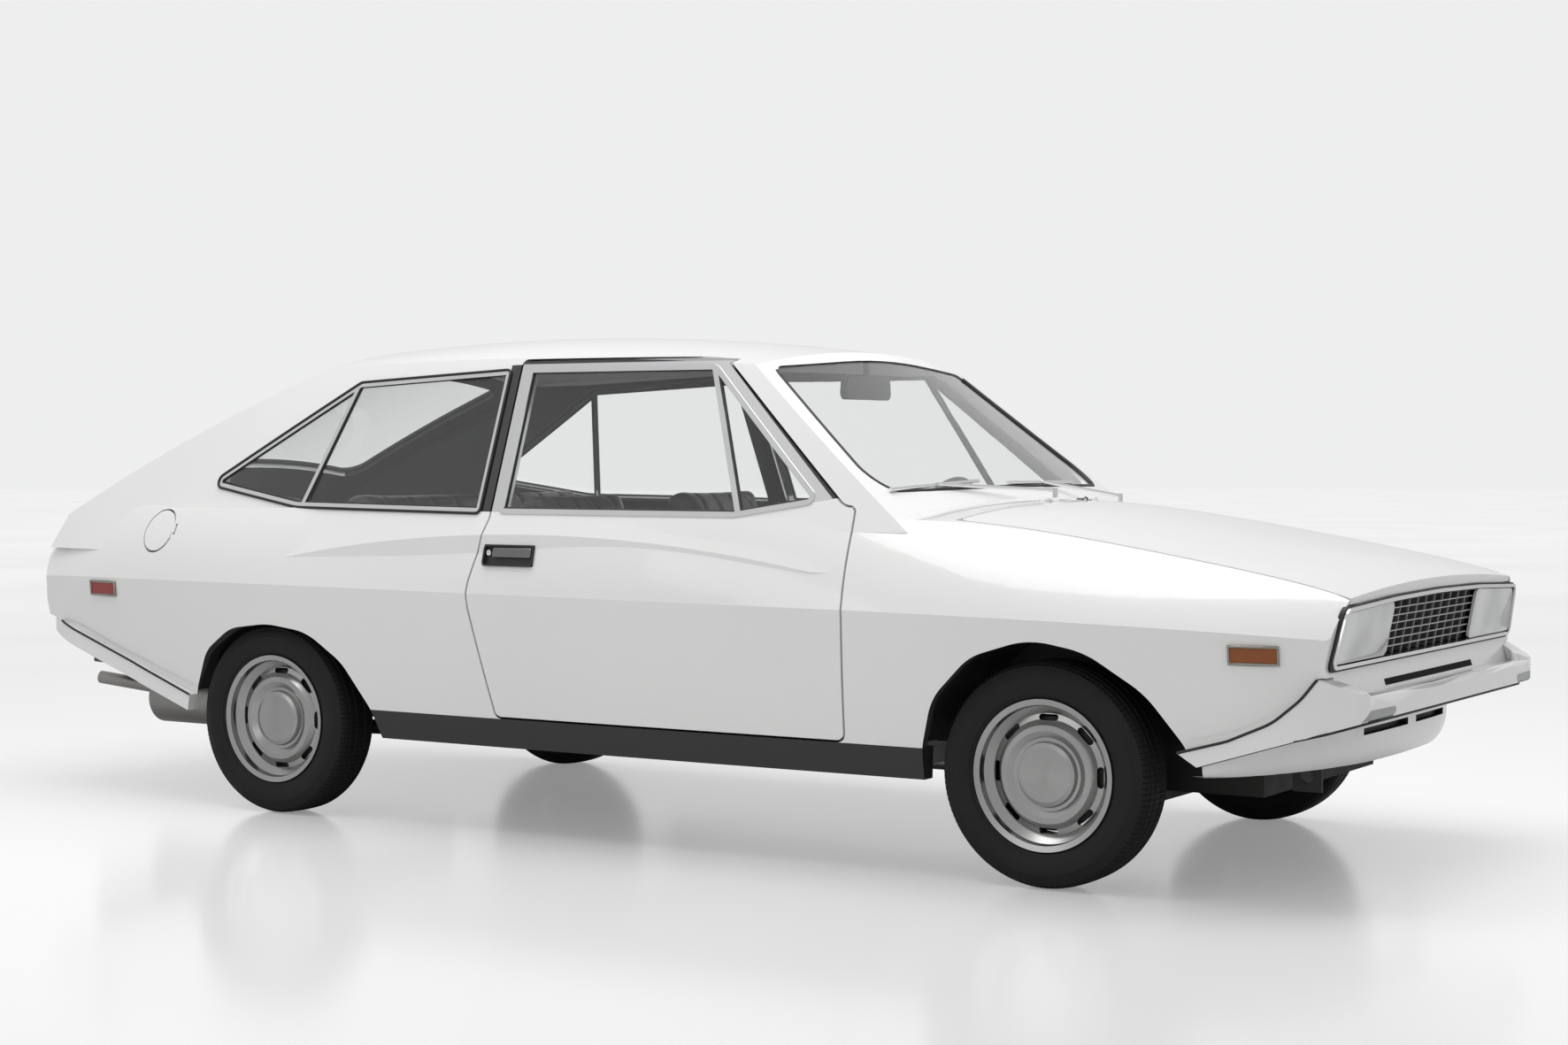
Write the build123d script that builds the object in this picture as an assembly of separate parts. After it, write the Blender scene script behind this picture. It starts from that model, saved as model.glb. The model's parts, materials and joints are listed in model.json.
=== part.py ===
from build123d import *
import math
import os

# Two-door fastback hatchback, one STEP file for each piece.
# Millimetres, +X forward, +Y to the car's left, +Z up, ground at z = 0.

# Driving dimensions
WHEELBASE = 2448
FRONT_OVERHANG = 786
REAR_OVERHANG = 1062
TRACK = 1344
TYRE_RADIUS = 272
TYRE_WIDTH = 150
ROOF_HEIGHT = 1370
SILL_TOP = 319
SILL_BOTTOM = 240
FLOOR_TOP = 262
REAR_FLOOR_TOP = 400
FLOOR_SHEET = 20
PANEL_GAP = 6

# Sheet and wall thicknesses
SKIN = 24
PILLAR_THICK = 45
ROOF_THICK = 30
GLASS = 5
GLASS_INSET = 5
FRAME_WIDTH = 14
WELL_SHEET = 4

# Hinges, axles and pins
HINGE_Y = 110
HINGE_PIN = 4
FLAP_PIN = 3
SPINDLE = 17
KING_PIN = 12
FIT = 0.05

# Lamps, grille and flap
FLAP_RADIUS = 65
LAMP_INNER_Y = 345
FRONT_FRAME = 12
GRILLE_BAR = 4
GRILLE_ROWS = 7
GRILLE_COLUMNS = 10
LAMP_PROUD = 4

# Derived stations
LENGTH = FRONT_OVERHANG + WHEELBASE + REAR_OVERHANG
FA = LENGTH / 2 - FRONT_OVERHANG
RA = FA - WHEELBASE
FLOOR_BOTTOM = FLOOR_TOP - FLOOR_SHEET
REAR_FLOOR = REAR_FLOOR_TOP - FLOOR_SHEET
STEP_X = RA + 600
AXLE_Z = TYRE_RADIUS
HUB_Y = TRACK / 2
FIREWALL_X = FA - 470
HOOD_REAR_X = FA - 275
HOOD_FRONT_X = FA + 756
HOOD_HALF = 642
HOOD_TAPER = 30
HATCH_FRONT_X = RA - 24
HATCH_BOTTOM_Z = 792
HATCH_HALF = 556
TAIL_X = RA - 1045
WELL_INNER_FRONT = 440
WELL_INNER_REAR = 560
WELL_OUTER = 730
WELL_ROOM = 30
TAIL_CORNER = 120
NOSE_CORNER = 60
COWL_Z = 840
CORNER_Y = 652
DOOR_INNER_Y = 506
KINGPIN_Y = HUB_Y - 60
RAIL_Y = WELL_INNER_FRONT - WELL_SHEET
TOW_Y = RAIL_Y - 18
TOW_HOLE = 16
TOW_FRONT_X = FA + 540
TOW_REAR = (RA - 900, 206, 318)

# Lower body sections, rear to front
BODY_SECTIONS = [
    # x, half width and z at bottom, at crease, at shoulder, z of the middle of the top, bulge
    (RA - 1060, 590, 235, 640, 652, 548, 800, 828, 12),
    (RA - 530, 690, 235, 752, 660, 664, 872, 915, 11),
    (RA, 728, 235, 796, 661, 722, 876, 920, 9),
    (RA + 816, 736, 235, 803, 657, 744, 869, 905, 8),
    (FA - 816, 736, 235, 803, 653, 740, 868, 902, 8),
    (FA - 408, 732, 235, 800, 650, 694, 873, 916, 11),
    (FA, 726, 235, 796, 644, 655, 840, 876, 14),
    (FA + 365, 706, 248, 776, 634, 642, 782, 815, 12),
    (FA + 730, 640, 270, 690, 614, 612, 702, 722, 6),
]
LOWER_BULGE = 5

# Greenhouse: side profile in the middle and at the edge stations, plan arc and lean of the sides
ROOF_EDGE_Y = 780
ROOF_PROFILE = [
    # x, z in the middle, x, z at the edge station
    (FA - 259, 800, FA - 332, 800),
    (FA - 889, ROOF_HEIGHT - 58, FA - 935, ROOF_HEIGHT - 145),
    (RA + 744, ROOF_HEIGHT, RA + 744, ROOF_HEIGHT - 142),
    (RA + 44, ROOF_HEIGHT - 23, RA + 44, ROOF_HEIGHT - 165),
    (RA - 476, 1144, RA - 476, 1022),
    (RA - 976, 905, RA - 976, 800),
]
GREENHOUSE_PLAN = [(RA - 1060, 572), (RA + 514, 748), (FA - 380, 702)]
BELT_Z = 870
LEAN = 0.44

# Side-view outlines, (x, z, corner radius)
DOOR_OUTLINE = [
    (RA + 826, SILL_TOP + PANEL_GAP, 20),
    (RA + 757, 655, 200),
    (RA + 812, 860, 60),
    (RA + 784, 1286, 14),
    (FA - 1010, 1286, 60),
    (FA - 566, 902, 60),
    (FA - 534, 898, 14),
    (FA - 520, 650, 400),
    (FA - 538, SILL_TOP + PANEL_GAP, 20),
]
DOOR_WINDOW = [
    (RA + 838, 872, 14),
    (RA + 812, 1268, 14),
    (FA - 1026, 1268, 40),
    (FA - 626, 912, 20),
    (FA - 868, 872, 120),
]
QUARTER_WINDOW = [
    (RA + 772, 872, 14),
    (RA + 748, 1264, 14),
    (RA + 196, 1236, 40),
    (RA - 326, 940, 20),
    (RA + 74, 880, 260),
]
FRONT_ARCH = [
    (FA - 322, 150, 0),
    (FA - 318, 320, 160),
    (FA - 281, 443, 160),
    (FA - 171, 550, 160),
    (FA - 11, 599, 240),
    (FA + 131, 573, 220),
    (FA + 274, 481, 220),
    (FA + 366, 357, 160),
    (FA + 420, 150, 0),
]
REAR_ARCH = [
    (RA - 330, 150, 0),
    (RA - 301, 339, 160),
    (RA - 240, 460, 120),
    (RA - 130, 530, 160),
    (RA + 18, 548, 300),
    (RA + 169, 530, 200),
    (RA + 290, 448, 160),
    (RA + 378, 320, 160),
    (RA + 440, 150, 0),
]
TAIL_TRIM = [
    (TAIL_X + 60, 100, 0),
    (TAIL_X + 22, 540, 300),
    (TAIL_X, 640, 300),
    (TAIL_X + 4, 720, 200),
    (TAIL_X + 42, 808, 120),
    (TAIL_X + 85, 910, 150),
    (TAIL_X + 330, 1060, 0),
    (TAIL_X + 330, 1500, 0),
    (FA + 1000, 1500, 0),
    (FA + 1000, 100, 0),
]
NOSE_TRIM = [
    (FA + 712, 900, 0),
    (FA + 712, 706, 30),
    (FA + 682, 545, 40),
    (FA + 706, 470, 60),
    (FA + 706, 400, 60),
    (FA + 590, 299, 60),
    (FA + 400, 292, 40),
    (FA + 300, 100, 0),
    (RA - 1200, 100, 0),
    (RA - 1200, 1500, 0),
    (FA + 712, 1500, 0),
]
FRONT_BUMPER_TOP = [
    (FA + 360, 352, 0),
    (FA + 476, 384, 150),
    (FA + 580, 430, 150),
    (FA + 640, 484, 150),
    (FA + 672, 530, 6),
]
FRONT_BUMPER_LOW = [
    (FA + FRONT_OVERHANG + 20, 474, 0),
    (FA + FRONT_OVERHANG + 20, 400, 0),
    (FA + 700, 388, 150),
    (FA + 560, 345, 150),
    (FA + 412, 318, 10),
]
REAR_BUMPER_TOP = [(RA - 304, 328, 0), (RA - 560, 410, 300), (RA - 900, 505, 300), (RA - 1090, 550, 0)]
REAR_BUMPER_LOW = [(RA - 1090, 500, 0), (RA - 900, 455, 300), (RA - 560, 360, 300), (RA - 312, 282, 0)]
BUMPER_GASKET = 2

# Right half of each bumper in plan, outer edge from ear to middle, then inner edge back
FRONT_BUMPER_OUTER = [
    (FA + 300, -783, 0), (FA + 630, -747, 300), (FA + 764, -655, 60), (FA + FRONT_OVERHANG, -250, 1500),
]
FRONT_BUMPER_INNER = [(FA + 724, -610, 40), (FA + 605, -705, 200), (FA + 300, -745, 0)]
REAR_BUMPER_OUTER = [
    (RA - 200, -772, 0), (RA - 530, -742, 600), (RA - 900, -684, 300), (RA - 1050, -600, 90),
    (RA - REAR_OVERHANG, -300, 1500),
]
REAR_BUMPER_INNER = [
    (RA - 1000, -560, 60), (RA - 880, -644, 200), (RA - 530, -702, 500), (RA - 200, -732, 0),
]

# Plan outline of the hollow cabin, right half from the bulkhead to the tail
CABIN_EDGE = [(FIREWALL_X, -700, 0), (RA + 300, -704, 0), (RA - 530, -640, 0), (TAIL_X + 90, -520, 0)]

# Plan corners of the tail and the nose
TAIL_PLAN = [(FA + 900, -950, 0), (TAIL_X + 400, -830, 0), (TAIL_X, -664, TAIL_CORNER)]
NOSE_PLAN = [(RA - 1200, -950, 0), (FA + 300, -850, 0), (FA + 712, -700, NOSE_CORNER)]

# Front view of the lamp and grille opening, the indicators and the air slots, (y, z, corner radius)
OPENING_LOW = 556
OPENING_HIGH = 686
FRONT_OPENING = [
    (-628, OPENING_LOW, 22), (-612, OPENING_HIGH, 22), (612, OPENING_HIGH, 22), (628, OPENING_LOW, 22),
]
INDICATOR = [(-672, 420, 8), (-628, 458, 8), (-452, 458, 8), (-528, 420, 8)]
AIR_SLOTS = [
    # y from, y to, z from, z to
    (-590, -340, 362, 380),
    (-290, -50, 362, 380),
]

# Wipers: y of the pivot, then y and z of the blade's two ends
PIVOT_X = FA - 362
WIPERS = [(67, -612, 944, -201, 962), (486, -60, 956, 374, 952)]
WIPER_BAR = 5
WIPER_CLEAR = 12

# Inside: steering column, seats and mirror
WHEEL_CENTRE = (FA - 880, 330, 792)
COLUMN_TILT = math.radians(28)
COLUMN_LENGTH = 330
RIM_RADIUS = 180
DASH_HALF = 640
MIRROR_X = FA - 912
MIRROR = [(-125, 1180, 20), (-116, 1246, 20), (116, 1246, 20), (125, 1180, 20)]

# Wheel sections, (distance outboard, radius)
RIM_BORE = 171
TYRE_HALF = [(57, RIM_BORE), (57, 186), (TYRE_WIDTH / 2, 222), (62, 262), (44, TYRE_RADIUS)]
RIM_SECTION = [
    (66, 182), (60, 182), (57, RIM_BORE), (42, RIM_BORE), (26, 152), (-26, 152), (-42, RIM_BORE),
    (-57, RIM_BORE), (-60, 182), (-66, 182), (-62, 168), (-44, 165), (-28, 146), (28, 146), (44, 165),
    (62, 168),
]
DISC_SECTION = [
    (20, 147), (26, 147), (30, 132), (44, 118), (46, 104), (36, 88), (36, 80), (46, 76), (50, 66), (50, 0),
    (38, 0), (38, 60), (28, 84), (28, 90), (38, 106), (36, 116), (22, 130),
]
HUB_SECTION = [(39, 0), (39, 34), (-28, 34), (-28, 0)]
WHEEL_SLOTS = 8
SLOT_RADIUS = 136


def outline(corners):
    """A flat closed face from rows of (u, v, corner radius)."""
    points = [(u, v) for u, v, radius in corners]
    radii = [radius for u, v, radius in corners]
    return make_face(FilletPolyline(*points, radius=radii, close=True))


def across(face, y_from, y_to):
    """A side-view face of (x, z) extruded across the car between two y values."""
    return extrude(Plane.XZ.offset(-max(y_from, y_to)) * face, amount=abs(y_to - y_from))


def along(face, x_from, x_to):
    """A front-view face of (y, z) extruded along the car between two x values."""
    return extrude(Plane.YZ.offset(min(x_from, x_to)) * face, amount=abs(x_to - x_from))


def upward(face, z_from, z_to):
    """A plan face of (x, y) extruded upward between two z values."""
    return extrude(Plane.XY.offset(z_from) * face, amount=z_to - z_from)


def block(x_from, x_to, y_from, y_to, z_from, z_to):
    """A plain box between pairs of coordinates."""
    centre = Pos((x_from + x_to) / 2, (y_from + y_to) / 2, (z_from + z_to) / 2)
    return centre * Box(abs(x_to - x_from), abs(y_to - y_from), abs(z_to - z_from))


def rod(start, end, radius):
    """A round bar between two points."""
    start, end = Vector(*start), Vector(*end)
    return Solid.make_cylinder(radius, (end - start).length, Plane(origin=start, z_dir=end - start))


def left_of(shape):
    """The same piece on the car's left side."""
    return mirror(shape, about=Plane.XZ)


def both(shape):
    """The piece and its twin on the other side."""
    return [shape, left_of(shape)]


def bulged(x, start, end, bulge):
    """An arc in a cross-section from one (y, z) to another, bowed outward."""
    dy, dz = end[0] - start[0], end[1] - start[1]
    size = math.hypot(dy, dz)
    middle = ((start[0] + end[0]) / 2 + bulge * dz / size, (start[1] + end[1]) / 2 - bulge * dy / size)
    return Edge.make_three_point_arc((x, *start), (x, *middle), (x, *end))


def body_section(row, inset):
    """One closed cross-section of the lower body, moved inward by the inset."""
    x, y_low, z_low, y_crease, z_crease, y_shoulder, z_shoulder, z_top, bulge = row
    low = (y_low - inset, z_low)
    crease = (y_crease - inset, z_crease)
    shoulder = (y_shoulder - inset, z_shoulder - inset)
    side = [bulged(x, low, crease, LOWER_BULGE), bulged(x, crease, shoulder, bulge)]
    top = Edge.make_three_point_arc(
        (x, *shoulder), (x, 0, z_top - inset), (x, -shoulder[0], shoulder[1])
    )
    twin = [edge.mirror(Plane.XZ) for edge in side]
    bottom = Edge.make_line((x, -low[0], low[1]), (x, *low))
    return Wire([bottom, *side, top, *reversed(twin)])


def lower_body(inset=0):
    """Smooth loft through the lower body sections."""
    return Solid.make_loft([body_section(row, inset) for row in BODY_SECTIONS])


def roof_profile(y, edge_share):
    """The greenhouse side profile at one y, between the middle line and the edge station."""
    points = [
        (xm + (xe - xm) * edge_share, y, zm + (ze - zm) * edge_share) for xm, zm, xe, ze in ROOF_PROFILE
    ]
    screen = Edge.make_line(points[0], points[1])
    roof = Edge.make_three_point_arc(points[1], points[2], points[3])
    hatch = Edge.make_three_point_arc(points[3], points[4], points[5])
    back = Edge.make_line(points[5], (points[5][0] - 60, y, 700))
    base = Edge.make_line((points[5][0] - 60, y, 700), (points[0][0], y, 700))
    front = Edge.make_line((points[0][0], y, 700), points[0])
    return Wire([screen, roof, hatch, back, base, front])


def roof_form(drop=0):
    """The crowned solid under the screen, roof and hatch surfaces, lowered by a drop."""
    sections = [roof_profile(-ROOF_EDGE_Y, 1), roof_profile(0, 0), roof_profile(ROOF_EDGE_Y, 1)]
    return Pos(0, 0, -drop) * Solid.make_loft(sections)


def side_plan(z, inset):
    """The greenhouse plan outline at one height."""
    shift = inset + LEAN * (z - BELT_Z)
    right = [(x, -(y - shift), z) for x, y in GREENHOUSE_PLAN]
    left = [(x, y - shift, z) for x, y in GREENHOUSE_PLAN]
    return Wire([
        Edge.make_three_point_arc(*right),
        Edge.make_line(right[2], left[2]),
        Edge.make_three_point_arc(*reversed(left)),
        Edge.make_line(left[0], right[0]),
    ])


def side_form(inset=0):
    """The solid between the leaning sides, moved inward by the inset."""
    return Solid.make_loft([side_plan(740, inset), side_plan(1430, inset)], ruled=True)


def grown(face, amount):
    """A face made larger all round, or smaller with a negative amount."""
    return offset(face, amount=amount, kind=Kind.INTERSECTION)


def ring(face, width):
    """The band of a given width just inside an outline."""
    return face - grown(face, -width)


def mirrored_plan(*edges):
    """A plan face from edge rows of the right half and their mirror image, later edges cut out."""
    faces = []
    for rows in edges:
        faces.append(outline(rows + [(x, -y, radius) for x, y, radius in reversed(rows)]))
    return faces[0] - faces[1:] if faces[1:] else faces[0]


def side_slab(outer, inner):
    """The part of both leaning sides between two insets."""
    return side_form(outer) - side_form(inner)


def roof_slab(outer, inner):
    """The part under the screen, roof and hatch surfaces between two drops."""
    return roof_form(outer) - roof_form(inner)


def skin_height(form, x, y=0):
    """Height of a form's top surface at one place in plan."""
    spots = form.find_intersection_points(Axis((x, y, 2000), (0, 0, -1)))
    return max(spot.Z for spot, normal in spots)


def screen_spot(y, z, clear):
    """A point in front of the windscreen surface by a clearance."""
    spots = roof_outer.find_intersection_points(Axis((FA, y, z), (-1, 0, 0)))
    return (max(spot.X for spot, normal in spots) + clear, y, z)


def cross_bar(x, y, z, half_length, radius):
    """A round bar across the car, centred at a point."""
    return rod((x, y - half_length, z), (x, y + half_length, z), radius)


def hinged(panel, lid, edge_x, toward, z):
    """A fixed panel and a lid with a pair of pin-and-sleeve hinges along the lid's edge."""
    axis_x = edge_x - toward * PANEL_GAP / 2
    for y in (-HINGE_Y, HINGE_Y):
        panel = panel - block(axis_x + toward, axis_x - toward * 14, y - 29, y + 29, z - 60, z + 20)
        panel = panel + cross_bar(axis_x, y, z, 42, HINGE_PIN)
        for lug_y in (y - 36, y + 36):
            panel = panel + block(
                axis_x + toward * 4.5, axis_x - toward * 18, lug_y - 6, lug_y + 6, z - 14, z + 4.5
            )
        lid = lid - block(axis_x, axis_x + toward * 11, y - 48, y + 48, z - 60, z + 20)
        sleeve = cross_bar(axis_x, y, z, 23, 2 * HINGE_PIN)
        sleeve = sleeve + block(axis_x, axis_x + toward * 18, y - 23, y + 23, z - 14, z)
        lid = lid + (sleeve - cross_bar(axis_x, y, z, 30, HINGE_PIN + FIT))
    return panel, lid


def face_slab(front, back):
    """A slice parallel to the leaning front face, between two distances behind it."""
    (top_x, top_z), (low_x, low_z) = [(x, z) for x, z, radius in NOSE_TRIM[1:3]]
    return across(outline([
        (top_x - front, top_z, 0), (low_x - front, low_z, 0),
        (low_x - back, low_z, 0), (top_x - back, top_z, 0),
    ]), -700, 700)


def turned(profile):
    """A ring turned about the wheel axle from (distance outboard, radius) corners, axle along Y."""
    face = make_face(Polyline(*profile, close=True))
    return Rot(0, 0, -90) * revolve(face, Axis.X)


# Outer forms
lower = lower_body()
proud = lower_body(-LAMP_PROUD)
roof_outer = roof_form()
upper = roof_outer & side_form()

# Hollows
cabin_plan = mirrored_plan(CABIN_EDGE)
cabin_low = upward(cabin_plan, 200, 860)
cabin_high = roof_form(ROOF_THICK) & side_form(PILLAR_THICK)
cabin_high = cabin_high & block(TAIL_X + 120, FIREWALL_X, -900, 900, 790, 1500)
cabin = cabin_low + cabin_high
engine_bay = Solid.make_loft([body_section(row, SKIN) for row in BODY_SECTIONS[4:]], ruled=True)
engine_bay = engine_bay & block(FIREWALL_X + SKIN, FA + 672, -900, 900, 100, 1200)
engine_bay = engine_bay - block(FA + 580, FA + 700, -900, 900, 100, 430)
front_arch_face = outline(FRONT_ARCH)
rear_arch_face = outline(REAR_ARCH)
front_arch = across(front_arch_face, -600, -900)
rear_arch = across(grown(rear_arch_face, WELL_ROOM), -WELL_INNER_REAR, -WELL_OUTER)
rear_arch = rear_arch + across(rear_arch_face, -WELL_INNER_REAR, -900)

# Zones that split the shell into panels
tail_trim = across(outline(TAIL_TRIM), -900, 900) & upward(mirrored_plan(TAIL_PLAN), 0, 1600)
nose_trim = across(outline(NOSE_TRIM), -900, 900) & upward(mirrored_plan(NOSE_PLAN), 0, 1600)
door_face = outline(DOOR_OUTLINE)
door_zone = across(door_face, -900, -DOOR_INNER_Y)
door_clear = across(grown(door_face, PANEL_GAP), -900, PANEL_GAP - DOOR_INNER_Y)
hood_plan = mirrored_plan([(HOOD_REAR_X, -HOOD_HALF, 30), (HOOD_FRONT_X, HOOD_TAPER - HOOD_HALF, 0)])
hood_zone = upward(hood_plan, 660, 1100)
wing_plan = outline([
    (FA - 560, -900, 0), (HOOD_FRONT_X, -900, 0), (HOOD_FRONT_X, HOOD_TAPER - HOOD_HALF - PANEL_GAP, 0),
    (HOOD_REAR_X, -HOOD_HALF - PANEL_GAP, 0), (HOOD_REAR_X - PANEL_GAP, -CORNER_Y, 0), (FA - 560, -CORNER_Y, 0),
])
hatch_plan = mirrored_plan([(HATCH_FRONT_X, -HATCH_HALF + 30, 40), (TAIL_X - 200, -HATCH_HALF, 0)])
hatch_zone = upward(hatch_plan, HATCH_BOTTOM_Z, 1500)
hatch_clear = upward(grown(hatch_plan, PANEL_GAP), HATCH_BOTTOM_Z - PANEL_GAP, 1500)
roof_zone = across(outline([
    (FA - 200, COWL_Z, 0), (FA - 200, 1500, 0), (HATCH_FRONT_X + PANEL_GAP, 1500, 0),
    (HATCH_FRONT_X + PANEL_GAP, 1246, 0), (RA + 196, 1250, 0), (RA + 770, 1277, 0),
    (RA + 860, 1277, 0), (FA - 700, COWL_Z, 0),
]), -900, 900)
tail_zone = block(TAIL_X - 60, TAIL_X + 150, -HATCH_HALF, HATCH_HALF, 200, HATCH_BOTTOM_Z - PANEL_GAP)
nose_zone = block(FA + 640, FA + 800, -CORNER_Y, CORNER_Y, 200, 688)
scuttle_zone = block(FIREWALL_X, HOOD_REAR_X - PANEL_GAP, -CORNER_Y, CORNER_Y, FLOOR_BOTTOM, 1100)
sill_zone = block(RA + 200, FA - 200, -900, -690, 200, SILL_TOP)
apron_edge = [(x, z - BUMPER_GASKET, 0) for x, z, radius in reversed(FRONT_BUMPER_LOW[1:])]
apron_zone = across(outline([
    (FA + 340, 100, 0), (FA + 340, 330, 0), *apron_edge, (FA + 900, 400, 0), (FA + 900, 100, 0),
]), -900, 900)
screen_face = outline([
    (-640, 936, 50), (-512, 1262, 50), (0, 1296, 3000), (512, 1262, 50), (640, 936, 50), (0, 944, 4000),
])
screen_opening = along(screen_face, FA - 1200, FA - 300)
front_bumper_face = outline(FRONT_BUMPER_TOP + FRONT_BUMPER_LOW)
front_bumper_clear = across(outline(
    [(x - BUMPER_GASKET, z + BUMPER_GASKET, radius) for x, z, radius in FRONT_BUMPER_TOP]
    + [(FA + 900, 533, 0), (FA + 900, 100, 0), (FA + 350, 100, 0)]
), -900, -560)
rear_bumper_clear = across(outline(
    REAR_BUMPER_TOP + [(RA - 1090, 100, 0), (RA - 304, 100, 0)]
), -900, 900)

pieces = {}

# Doors with their window frames, glass and handles
window_face = outline(DOOR_WINDOW)
frame_slab = side_slab(-3, 10)
glass_slab = side_slab(GLASS_INSET, GLASS_INSET + GLASS)
vent_bar = outline([(FA - 1054, 1290, 0), (FA - 1038, 1290, 0), (FA - 836, 850, 0), (FA - 852, 850, 0)])
handle_box = block(RA + 808, RA + 978, -900, -766, 733, 790)
door = ((lower & door_zone) + (upper & door_zone)) - cabin
door = door - across(window_face, -900, -400) - handle_box
frame_face = ring(window_face, FRAME_WIDTH) + (vent_bar & window_face)
pane_face = grown(window_face, -FRAME_WIDTH) - vent_bar
for name, shape in (
    ("door", door),
    ("door_frame", frame_slab & across(frame_face, -900, -400)),
    ("door_glass", glass_slab & across(pane_face, -900, -400)),
    ("door_handle", proud & handle_box),
):
    pieces[name + "_right"] = shape
    pieces[name + "_left"] = left_of(shape)

# Rear quarter panels
quarter_block = block(TAIL_X - 60, RA + 900, -900, 0, 200, 1500)
quarter_face = outline(QUARTER_WINDOW)
marker_rear = block(RA - 765, RA - 638, -900, -704, 606, 646)
quarter = ((lower & quarter_block) + (upper & quarter_block)) & tail_trim
for cutter in (
    cabin, door_clear, hatch_clear, roof_zone, tail_zone, rear_bumper_clear, sill_zone, rear_arch,
    across(quarter_face, -900, -400), marker_rear,
):
    quarter = quarter - cutter
quarter_bar = outline([(RA + 200, 1290, 0), (RA + 214, 1290, 0), (RA + 96, 850, 0), (RA + 82, 850, 0)])
quarter_frame_face = ring(quarter_face, FRAME_WIDTH) + (quarter_bar & quarter_face)
quarter_pane_face = grown(quarter_face, -FRAME_WIDTH) - quarter_bar
pieces["quarter_frames"] = both(frame_slab & across(quarter_frame_face, -900, -400))
pieces["quarter_glass"] = both(glass_slab & across(quarter_pane_face, -900, -400))

# Fuel flap in the right quarter, on a pin at its front edge
flap_spot, flap_normal = lower.find_intersection_points(Axis((RA - 472, -900, 805), (0, 1, 0)))[0]
flap_plane = Plane(origin=flap_spot, x_dir=(1, 0, 0), z_dir=flap_normal)
flap_edge = flap_plane.origin + flap_plane.x_dir * (FLAP_RADIUS + 3) - flap_plane.z_dir * 2
hinge_plane = Plane(flap_edge, x_dir=flap_plane.x_dir, z_dir=flap_plane.y_dir)
flap = lower & Solid.make_cylinder(FLAP_RADIUS, 80, flap_plane.offset(-14))
flap = flap + Solid.make_cylinder(FLAP_PIN + 2.5, 24, hinge_plane.offset(-12))
flap = flap + (flap_plane * (Pos(FLAP_RADIUS - 3, 0, -7) * Box(14, 24, 8)))
pieces["fuel_flap"] = flap - Solid.make_cylinder(FLAP_PIN + FIT, 30, hinge_plane.offset(-15))
flap_recess = Solid.make_cylinder(FLAP_RADIUS + PANEL_GAP, 120, flap_plane.offset(-40))
flap_notch = flap_plane * (Pos(FLAP_RADIUS + 8, 0, 0) * Box(14, 34, 26))
flap_pin = Solid.make_cylinder(FLAP_PIN, 60, hinge_plane.offset(-30))
pieces["quarter_panel_right"] = quarter - flap_recess - flap_notch + flap_pin
pieces["quarter_panel_left"] = left_of(quarter)

# Roof with the screen pillars, windscreen, hatch and its glass
roof = (upper & roof_zone) - cabin - lower - screen_opening
for cutter in both(door_clear):
    roof = roof - cutter
hatch_window = upward(mirrored_plan([(HATCH_FRONT_X - 70, -440, 60), (RA - 760, -470, 60)]), 850, 1500)
hatch = ((lower & hatch_zone) + (upper & hatch_zone)) & tail_trim
hatch = hatch - cabin - hatch_window
hatch_hinge_z = skin_height(roof_outer, HATCH_FRONT_X)
pieces["roof"], pieces["hatch"] = hinged(roof, hatch, HATCH_FRONT_X, -1, hatch_hinge_z)
screen_slab = roof_slab(GLASS_INSET, GLASS_INSET + GLASS)
pieces["windscreen"] = screen_slab & screen_opening
pieces["hatch_glass"] = screen_slab & hatch_window

# Tail panel with its inner wall, lamps
lamp_box = block(TAIL_X - 60, TAIL_X + 40, -530, -300, 616, 744)
tail_panel = (lower & tail_zone & tail_trim) - cabin - rear_bumper_clear
tail_panel = tail_panel + block(TAIL_X + 66, TAIL_X + 90, -500, 500, REAR_FLOOR, 600)
tail_lamps = []
for cutter in both(lamp_box):
    tail_panel = tail_panel - cutter
    tail_lamps.append((Pos(-LAMP_PROUD, 0, 0) * tail_trim) & cutter)
pieces["tail_panel"] = tail_panel
pieces["tail_lamps"] = tail_lamps + both(proud & marker_rear)

# Bonnet, scuttle and wings
front_outer = lower & nose_trim
hood = (front_outer & hood_zone) - engine_bay - block(FA + 640, FA + 800, -700, 700, 500, 694)
scuttle = (lower & scuttle_zone) - engine_bay
hood_hinge_z = skin_height(lower, HOOD_REAR_X)
pieces["scuttle"], pieces["hood"] = hinged(scuttle, hood, HOOD_REAR_X, 1, hood_hinge_z)
marker_front = block(FA + 477, FA + 587, -900, -700, 560, 600)
wing = front_outer & upward(wing_plan, 250, 1100)
for cutter in (
    engine_bay, cabin, door_clear, nose_zone, front_bumper_clear, front_arch, sill_zone, marker_front,
):
    wing = wing - cutter
pieces["front_wing_right"] = wing
pieces["front_wing_left"] = left_of(wing)

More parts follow.
